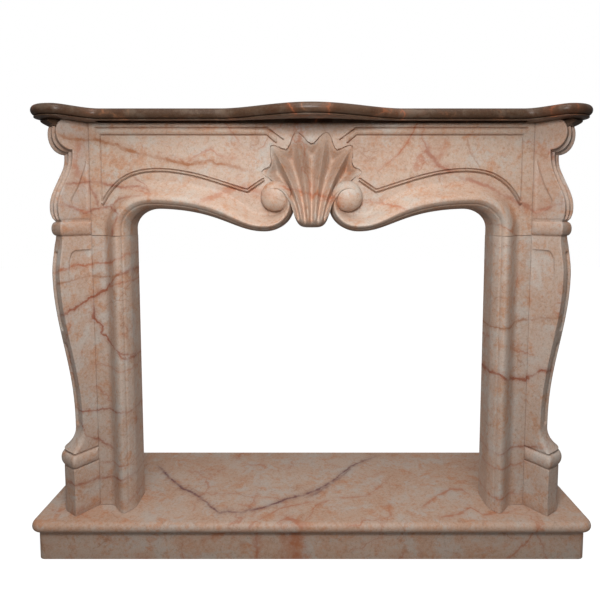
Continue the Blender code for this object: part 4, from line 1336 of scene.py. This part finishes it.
@dataclass
class Leg(Console):
    """The lower half of a console: foot block, bead, flared ankle and fluted leg."""

    height: float = 0.806
    foot_thickness: float = 0.086
    foot_rounding: float = 0.045
    foot_reach: float = 0.0765
    foot_step: float = 0.002
    block_height: float = 0.139
    block_arris: float = 0.0012
    lip: float = 0.005
    lip_height: float = 0.006
    lip_arris: float = 0.003
    bead_height: float = 0.038
    bead_proud: float = 0.009
    bead_sink: float = 0.0035
    bead_arris: float = 0.009
    quirk: float = 0.003
    collar_arris: float = 0.006
    thickness: float = 0.042
    shoulder: float = 0.006
    shoulder_height: float = 0.030
    arris: float = 0.0026
    ankle_softness: float = 0.012
    ankle_rise: float = 0.253
    ankle_reach: float = 0.0452
    calf_rise: float = 0.700
    calf_reach: float = 0.0970
    top_reach: float = 0.0860
    flute_depth: float = 0.0060
    flute_stop: float = 0.008
    flute_top: float = 0.765
    flute_break: float = 0.521
    break_height: float = 0.034
    field_sink: float = 0.0046
    field_slope: float = 0.0035
    field_top: float = 0.7675
    field_foot: float = 0.6400
    field_start: float = 0.004
    field_margin: float = 0.025
    field_corner: float = 0.018

    def reach_at(self, rise: np.ndarray) -> np.ndarray:
        """Half a cosine wave from the ankle out to the calf, and another back in at the top."""
        low = self.ankle_reach + (self.calf_reach - self.ankle_reach) * ease(
            (rise - self.ankle_rise) / (self.calf_rise - self.ankle_rise)) ** 1.15
        high = self.calf_reach + (self.top_reach - self.calf_reach) * ease(
            (rise - self.calf_rise) / (self.height - self.calf_rise))
        return np.where(rise <= self.calf_rise, low, high)

    def skin(self) -> Skin:
        """The leg's measures, from the slab to the seam under the frieze.

        The block ends in a quarter-round lip, and the bead swells as a half sine over it. Above
        the bead the foot steps in and then draws in to the ankle as a square.
        """
        block_top, bead_top = self.block_height, self.block_height + self.bead_height
        quarter = np.linspace(0, np.pi / 2, 6)
        share = np.linspace(0, 1, 22)
        run = np.linspace(0, 1, 26)
        fade = (1 - run) ** 2
        collar = bead_top + self.quirk
        ankle = collar + self.lip_height + (self.ankle_rise - collar - self.lip_height) * run
        shaft = np.linspace(self.ankle_rise, self.height - DATUM.seam / 2, 190)[1:]
        foot = (self.foot_reach, self.foot_thickness, self.foot_rounding)
        slim = (self.foot_reach - self.foot_step, *foot[1:])
        softness = self.ankle_softness * np.sin(np.pi * (0.25 + 0.75 * run))
        rise, reach, thickness, rounding, swell, arris = stacked(
            ([DATUM.seam], *foot, -0.001, self.block_arris),
            ([0.002, 0.03, 0.08, block_top - self.lip_height], *foot, 0.0, self.block_arris),
            (block_top - self.lip_height * (1 - np.sin(quarter[1:])), *foot,
             -self.lip * (1 - np.cos(quarter[1:])), self.lip_arris),
            (block_top + 0.001 + self.bead_height * ease(share), *foot,
             self.bead_proud * np.sin(np.pi * share) - self.bead_sink, self.bead_arris),
            ([collar], *slim, -self.lip, self.collar_arris),
            (collar + self.lip_height * (1 - np.cos(quarter[1:-1])), *slim,
             -self.lip * (1 - np.sin(quarter[1:-1])), self.collar_arris),
            (ankle, self.ankle_reach + (slim[0] - self.ankle_reach) * fade,
             self.thickness + (self.foot_thickness - self.thickness) * fade,
             self.arris + (self.foot_rounding - self.arris) * fade ** 0.7, 0.0, self.arris + softness),
            (shaft, self.reach_at(shaft),
             self.thickness - self.shoulder * ease((shaft - self.height) / self.shoulder_height + 1),
             self.arris, 0.0, self.arris))
        return Skin(DATUM.slab_top + rise, reach, thickness, swell, arris, rounding, self.flute_at(rise))

    def flute_at(self, rise: np.ndarray) -> np.ndarray:
        """The flute's depth at each height: full between its stops, and none across the break."""
        low, high = self.flute_break - self.break_height / 2, self.flute_break + self.break_height / 2
        depth = np.zeros_like(rise)
        for start, end in ((self.ankle_rise, low), (high, self.flute_top)):
            inside = np.minimum(rise - start, end - rise)
            depth = np.maximum(depth, self.flute_depth * ease(inside / self.flute_stop))
        return depth

    def cheek_relief(self, along: np.ndarray, height: np.ndarray) -> np.ndarray:
        """The field sunk into the cheek: crisp at its rounded top, and fading out below."""
        rise = height - DATUM.slab_top
        levels = np.linspace(self.field_foot, self.field_top - self.field_corner, 12)
        angle = np.linspace(0, np.pi / 2, 8)[1:]
        corner = self.reach_at(np.array(self.field_top)) - self.field_margin - self.field_corner
        edge = np.concatenate([
            joined(self.reach_at(levels) - self.field_margin, levels),
            joined(corner + self.field_corner * np.cos(angle),
                   self.field_top - self.field_corner * (1 - np.sin(angle))),
            [[self.field_start, self.field_top], [self.field_start, self.field_foot]]])
        depth = inside_distance(joined(along, rise), edge)
        fade = ease((rise - self.field_foot) / (self.field_top - self.field_foot))
        return self.field_sink * ease(depth / self.field_slope) * fade


@dataclass
class Corbel(Console):
    """The upper half of a console: bead, knee, neck and volute, and the cove under the shelf."""

    height: float = 0.318
    thickness: float = 0.0475
    arris: float = 0.003
    bead_rounding: float = 0.015
    bead_height: float = 0.040
    bead_proud: float = 0.008
    bead_reach: float = 0.0874
    bead_sink: float = 0.002
    bead_fade: float = 0.03
    quirk: float = 0.005
    knee_rise: float = 0.080
    knee_reach: float = 0.0941
    neck_reach: float = 0.0472
    volute_x: float = 0.0485
    volute_radius: float = 0.0437
    volute_drop: float = 0.0345
    volute_droop: float = 0.013
    volute_start: float = 0.04
    droop_run: float = 0.08
    flute_depth: float = 0.0080
    flute_start: float = 0.004
    flute_run: float = 0.010
    cove_height: float = 0.021
    cove_reach: float = 0.038
    cove_sink: float = 0.004
    field_sink: float = 0.0034
    field_slope: float = 0.006
    field_foot: float = 0.065
    field_height: float = 0.165
    field_reach: float = 0.060

    # The cheek's field, as shares of its reach and height
    FIELD = ((0.08, 0.0), (0.43, 0.01), (0.78, 0.07), (0.92, 0.12), (1.0, 0.20), (0.90, 0.28),
             (0.60, 0.47), (0.27, 0.78), (0.08, 1.0))

    def skin(self) -> Skin:
        """The corbel's measures, from the seam to the shelf.

        The bead swells as a half sine, the knee eases out and the neck draws in. The volute is a
        circle that hangs lower on its outer side.
        """
        top = self.height - DATUM.seam / 2
        centre = self.height - self.volute_drop
        under = math.acos((self.neck_reach - self.volute_x) / self.volute_radius)
        neck_top = centre - self.volute_radius * math.sin(under)
        share = np.linspace(0, 1, 24)
        knee_share, neck_share = np.linspace(0, 1, 18), np.linspace(0, 1, 60)[1:]
        knee_foot = self.bead_height + self.quirk
        angle = np.linspace(-under + self.volute_start, math.asin((top - centre) / self.volute_radius), 46)
        rise, reach, swell = stacked(
            ([DATUM.seam / 2], self.bead_reach, -self.bead_sink),
            (DATUM.seam / 2 + 0.002 + (self.bead_height - 0.002) * ease(share), self.bead_reach,
             self.bead_proud * np.sin(np.pi * share) - self.bead_sink),
            ([self.bead_height + 0.003], self.bead_reach, -self.bead_sink),
            (knee_foot + (self.knee_rise - knee_foot) * knee_share,
             self.bead_reach + (self.knee_reach - self.bead_reach) * ease(0.5 + 0.5 * knee_share),
             -self.bead_sink * (1 - ease(knee_share * 6))),
            (self.knee_rise + (neck_top - 0.001 - self.knee_rise) * neck_share,
             self.neck_reach + (self.knee_reach - self.neck_reach) * ease(1 - neck_share) ** 1.3, 0.0),
            (centre + self.volute_radius * np.sin(angle),
             self.volute_x + self.volute_radius * np.cos(angle), 0.0))
        soft = 1 - ease((rise - self.bead_height) / self.bead_fade)
        droop = self.volute_droop * np.minimum(ease((rise - neck_top) / self.droop_run + 1),
                                               ease((top - rise) / (top - neck_top)))
        rounding = self.arris + (self.bead_rounding - self.arris) * soft
        flute = self.flute_depth * ease((rise - self.bead_height - self.flute_start) / self.flute_run)
        return Skin(DATUM.frieze_foot + rise, reach, self.thickness, swell, self.arris, rounding, flute,
                    droop=droop)

    def cove_skin(self) -> Skin:
        """The cove's measures: it lies inside the volute and runs out to the shelf as a quarter sine."""
        share = np.linspace(0, 1, 24)
        rise = self.height - DATUM.seam / 2 - self.cove_height * (1 - share)
        over = rise - self.height + self.volute_drop
        reach = self.volute_x + np.sqrt(self.volute_radius ** 2 - over ** 2) - 2 * self.cove_sink
        flare = (self.cove_reach + self.cove_sink) * np.sin(np.pi / 2 * share)
        return Skin(DATUM.frieze_foot + rise, reach, self.thickness, -self.cove_sink, self.arris,
                    self.arris, flare=flare)

    def cheek_relief(self, along: np.ndarray, height: np.ndarray) -> np.ndarray:
        """The drop-shaped field sunk into the cheek between the knee and the neck."""
        shape = np.array(self.FIELD) * [self.field_reach, self.field_height] + [0.0, self.field_foot]
        depth = inside_distance(joined(along, height - DATUM.frieze_foot), shape)
        return self.field_sink * ease(depth / self.field_slope)


@dataclass
class Consoles:
    """The pair of angled consoles, and the plain slabs from them to the wall."""

    leg: Leg
    corbel: Corbel

    def build(self, leg_marble: bpy.types.Material, shaded_corbel_marble: bpy.types.Material,
              shelf_marble: bpy.types.Material) -> list[bpy.types.Object]:
        """Make the legs, the corbels and their coves, and dress the plain slabs.

        Args:
            leg_marble: the finish of the legs and the slabs.
            shaded_corbel_marble: the finish of the corbels, the carved marble darkened as painted shade.
            shelf_marble: the finish of the coves, which match the shelf.

        Returns:
            The new stones.
        """
        leg = self.leg.loops(self.leg.skin(), Flutes.ONE)
        corbel = self.corbel.loops(self.corbel.skin(), Flutes.TWO)
        cove = self.corbel.loops(self.corbel.cove_skin(), Flutes.NONE)
        made = []
        for side in Side:
            for name, loops, marble, slot, node in (
                    ("console_leg", leg, leg_marble, "upright_marble", "leg"),
                    ("console_corbel", corbel, shaded_corbel_marble, "upright_marble", "corbel"),
                    ("cove", cove, shelf_marble, "shelf_marble", "corbel")):
                stone = Stone(f"{side.word}_{name}")
                stone.loft(turned(loops, side))
                made.append(stone.build(marble, slot, (f"{side.word}_{node}",)))
            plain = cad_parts[f"{side.word}_return"]
            plain.data.materials.clear()
            plain.data.materials.append(leg_marble)
        return made


# Shelf


@dataclass
class Shelf:
    """The serpentine shelf: its plan, its moulded edge and the drip groove under it."""

    depth: float = 0.392
    bulge: float = 0.089
    bulge_half_width: float = 0.249
    ear_start: float = 0.600
    ear_x: float = 0.685
    ear_depth: float = 0.395
    ear_radius: float = 0.070
    ear_handle: float = 0.036
    ear_turn: float = math.radians(99)
    side_x: float = 0.695
    roll: float = 0.014
    drip_front: float = 0.376
    drip_bulge: float = 0.037
    drip_rise: float = 0.012
    drip_arris: float = 0.0004
    drip_back: float = 0.006
    least_mitre: float = 0.3

    # The fillet under the roll: how far each ring lies inside the edge, and how high
    FILLET = ((0.0092, 0.0), (0.0076, 0.0004), (0.0070, 0.0016), (0.0073, 0.0032), (0.0170, 0.0040),
              (0.0170, 0.0048))

    def swell(self, x: np.ndarray, start: float, reach: float) -> np.ndarray:
        """Depth of a line that swells forward in the middle, by a cosine wave raised to 0.8."""
        return start + reach * (1 - ease(np.abs(x) / self.bulge_half_width)) ** 0.8

    def outline(self) -> np.ndarray:
        """The plan's edge as (points, 2), from the left of the wall, along the front, to the right.

        The right half swells in the middle and runs straight to a cubic curve, which leads round
        an arc at the ear and along the console to the side.
        """
        x = np.linspace(0, self.bulge_half_width, 60)
        middle = joined(x, self.swell(x, self.depth, self.bulge))
        flat = np.linspace(self.bulge_half_width, self.ear_start - self.ear_handle / 2, 12)[1:]
        straight = joined(flat, self.depth)
        angle = np.linspace(self.ear_turn, CONSOLE_ANGLE - math.pi / 2, 60)
        spoke = joined(np.cos(angle), np.sin(angle))
        ear = [self.ear_x, self.ear_depth] + self.ear_radius * spoke
        handles = straight[-1] + [self.ear_handle, 0.0], ear[0] + quarter_turn(spoke[0]) * self.ear_handle
        curve = bezier(straight[-1], *handles, ear[0], np.linspace(0, 1, 40)[1:-1])
        run = (ear[-1, 0] - self.side_x) / math.cos(CONSOLE_ANGLE)
        side = np.array([[self.side_x, ear[-1, 1] - run * math.sin(CONSOLE_ANGLE)], [self.side_x, 0.0]])
        right = np.concatenate([middle, straight, curve, ear, side])
        whole = np.concatenate([right[:0:-1] * [-1, 1], right])
        return joined(whole[:, 0], DATUM.from_wall(whole[:, 1]))

    def inset(self, outline: np.ndarray, distance: float) -> np.ndarray:
        """The outline moved inward along its mitred normals, with its back kept at the wall."""
        before = unit(outline - np.roll(outline, 1, axis=0))
        along = unit(before + np.roll(before, -1, axis=0))
        stretch = 1 / np.maximum((along * before).sum(1, keepdims=True), self.least_mitre)
        moved = outline + quarter_turn(along) * distance * stretch
        moved[outline[:, 1] > DATUM.wall_y - 0.0001, 1] = DATUM.wall_y
        return moved

    def drip_loop(self, outline: np.ndarray) -> np.ndarray:
        """The groove's plan, with one point for each point of the outline.

        Points in front keep their X. The ears' points spread along the groove's ends, and the
        points at the wall take its back corners.
        """
        x = np.clip(outline[:, 0], -self.ear_start, self.ear_start)
        front = DATUM.from_wall(self.swell(x, self.drip_front, self.drip_bulge))
        count = int((np.abs(outline[:, 0]) > self.ear_start).sum() // 2)
        share = np.zeros(len(outline))
        share[-count:] = np.linspace(0, 1, count + 1)[1:]
        share[:count] = share[:-count - 1:-1]
        return joined(x, front * (1 - share) + (DATUM.face_y - self.drip_back) * share)

    def loops(self) -> np.ndarray:
        """Plan loops from the groove's ceiling, round the moulded edge, to the top."""
        outline = self.outline()
        groove = self.drip_loop(outline)
        under = DATUM.frieze_top + DATUM.seam / 2
        turn = np.linspace(-np.pi / 2, np.pi / 2, 22)
        edge = np.concatenate([np.array(self.FILLET) + [0.0, under],
                               joined(self.roll * (1 - np.cos(turn)),
                                      DATUM.shelf_top - self.roll * (1 - np.sin(turn)))])
        rings = [joined(*groove.T, under + rise) for rise in (self.drip_rise, self.drip_arris, 0.0)]
        rings += [joined(*self.inset(outline, distance).T, height) for distance, height in edge]
        return np.stack(rings)

    def build(self, marble: bpy.types.Material) -> list[bpy.types.Object]:
        """Make the shelf."""
        stone = Stone("serpentine_shelf")
        stone.loft(self.loops())
        return [stone.build(marble, "shelf_marble", ("mantel_shelf",))]


# Studio


@dataclass(frozen=True)
class SoftBox:
    """A square soft box that faces a point of the mantel."""

    name: str
    place: tuple[float, float, float]
    size: float
    power: float
    aim: tuple[float, float, float]

    def build(self) -> None:
        """Add the lamp, turned to its aim."""
        lamp = bpy.data.lights.new(self.name, "AREA")
        lamp.size = self.size
        lamp.energy = self.power
        box = bpy.data.objects.new(self.name, lamp)
        box.location = self.place
        x, y, z = np.array(self.aim) - np.array(self.place)
        box.rotation_euler = (math.atan2(math.hypot(x, y), -z), 0.0, math.atan2(y, x) - math.pi / 2)
        bpy.context.scene.collection.objects.link(box)


@dataclass
class Studio:
    """A pale floor, soft light and the camera."""

    camera_place: tuple[float, float, float] = (0.0, -1.5915, 0.9884)
    camera_tilt: float = math.radians(4.5)
    lens: float = 31.2
    shift: tuple[float, float] = (-0.0193, -0.0783)
    ambient: float = 0.46
    sky_falloff: float = 1.6
    backdrop: float = 1.0
    floor_radius: float = 9.0
    floor_glow: float = 0.95
    floor_roughness: float = 0.9

    WHITE = (1.0, 1.0, 1.0, 1.0)
    FLOOR = (0.22, 0.22, 0.22, 1.0)
    LIGHTS = (SoftBox("key soft box", (-0.06, -1.25, 1.40), 0.32, 11.8, (0.0, 0.0, 0.95)),
              SoftBox("top soft box", (0.0, -1.3, 3.0), 1.4, 24.0, (0.0, -0.1, 0.5)))

    def floor(self) -> None:
        """A wide disc of a floor under the piece, which the camera sees as white."""
        angle = np.linspace(0, 2 * np.pi, 97)[:-1]
        ring = joined(self.floor_radius * np.cos(angle), self.floor_radius * np.sin(angle), 0.0)
        mesh = bpy.data.meshes.new("studio_floor")
        mesh.from_pydata(ring.tolist(), [], [list(range(len(ring)))])
        material = bpy.data.materials.new("studio floor")
        graph = Graph(material)
        seen = graph.value("ShaderNodeLightPath", {}, {}, "Is Camera Ray")
        for name, given in (("Base Color", self.FLOOR), ("Roughness", self.floor_roughness),
                            ("Emission Color", self.WHITE), ("Emission Strength", seen * self.floor_glow)):
            graph.feed(graph.shader.inputs[name], given)
        mesh.materials.append(material)
        floor = bpy.data.objects.new("studio_floor", mesh)
        bpy.context.scene.collection.objects.link(floor)

    def sky(self) -> None:
        """A world that lights more from above, and that the camera sees as a white backdrop."""
        world = bpy.data.worlds.new("studio")
        graph = Graph(world)
        seen = graph.value("ShaderNodeLightPath", {}, {}, "Is Camera Ray")
        way = graph.value("ShaderNodeTexCoord", {}, {}, "Generated")
        rise = graph.value("ShaderNodeSeparateXYZ", {}, {0: way}, "Z")
        sky = (rise * 0.5 + 0.5).clipped() ** self.sky_falloff * self.ambient
        background = graph.tree.nodes["Background"]
        graph.feed(background.inputs["Color"], self.WHITE)
        graph.feed(background.inputs["Strength"], (1 - seen) * sky + seen * self.backdrop)
        bpy.context.scene.world = world
        bpy.context.scene.view_settings.view_transform = "Standard"

    def camera(self) -> None:
        """The camera that fits the photo."""
        camera = bpy.data.cameras.new("camera")
        camera.sensor_width = 36
        camera.lens = self.lens
        camera.shift_x, camera.shift_y = self.shift
        holder = bpy.data.objects.new("camera", camera)
        holder.location = self.camera_place
        holder.rotation_euler = (math.pi / 2 - self.camera_tilt, 0.0, 0.0)
        bpy.context.scene.collection.objects.link(holder)
        bpy.context.scene.camera = holder

    def build(self) -> None:
        """Set up the world, the floor, the lights and the camera."""
        self.sky()
        self.floor()
        for light in self.LIGHTS:
            light.build()
        self.camera()


def main() -> None:
    """Build every stone in order, then the studio, and report each one."""
    logging.basicConfig(level=logging.INFO, format="%(name)s %(message)s")
    upright = UPRIGHT_MARBLE.build()
    roll = RollMoulding()
    stones = Hearth().build(HEARTH_MARBLE.build())
    stones += Jambs(roll).build(upright)
    dark = SHELF_MARBLE.build()
    # The corbels take the darker copy of the carved marble, which paints in the shade under the shelf.
    stones += Consoles(Leg(), Corbel()).build(upright, SHADED_CORBEL_MARBLE.build(), dark)
    stones += Frieze(Arch(roll), Shell()).build(CARVED_MARBLE.build())
    stones += Shelf().build(dark)
    Studio().build()
    LOG.info("%d stones in place", len(stones))


if __name__ == "__main__":
    main()
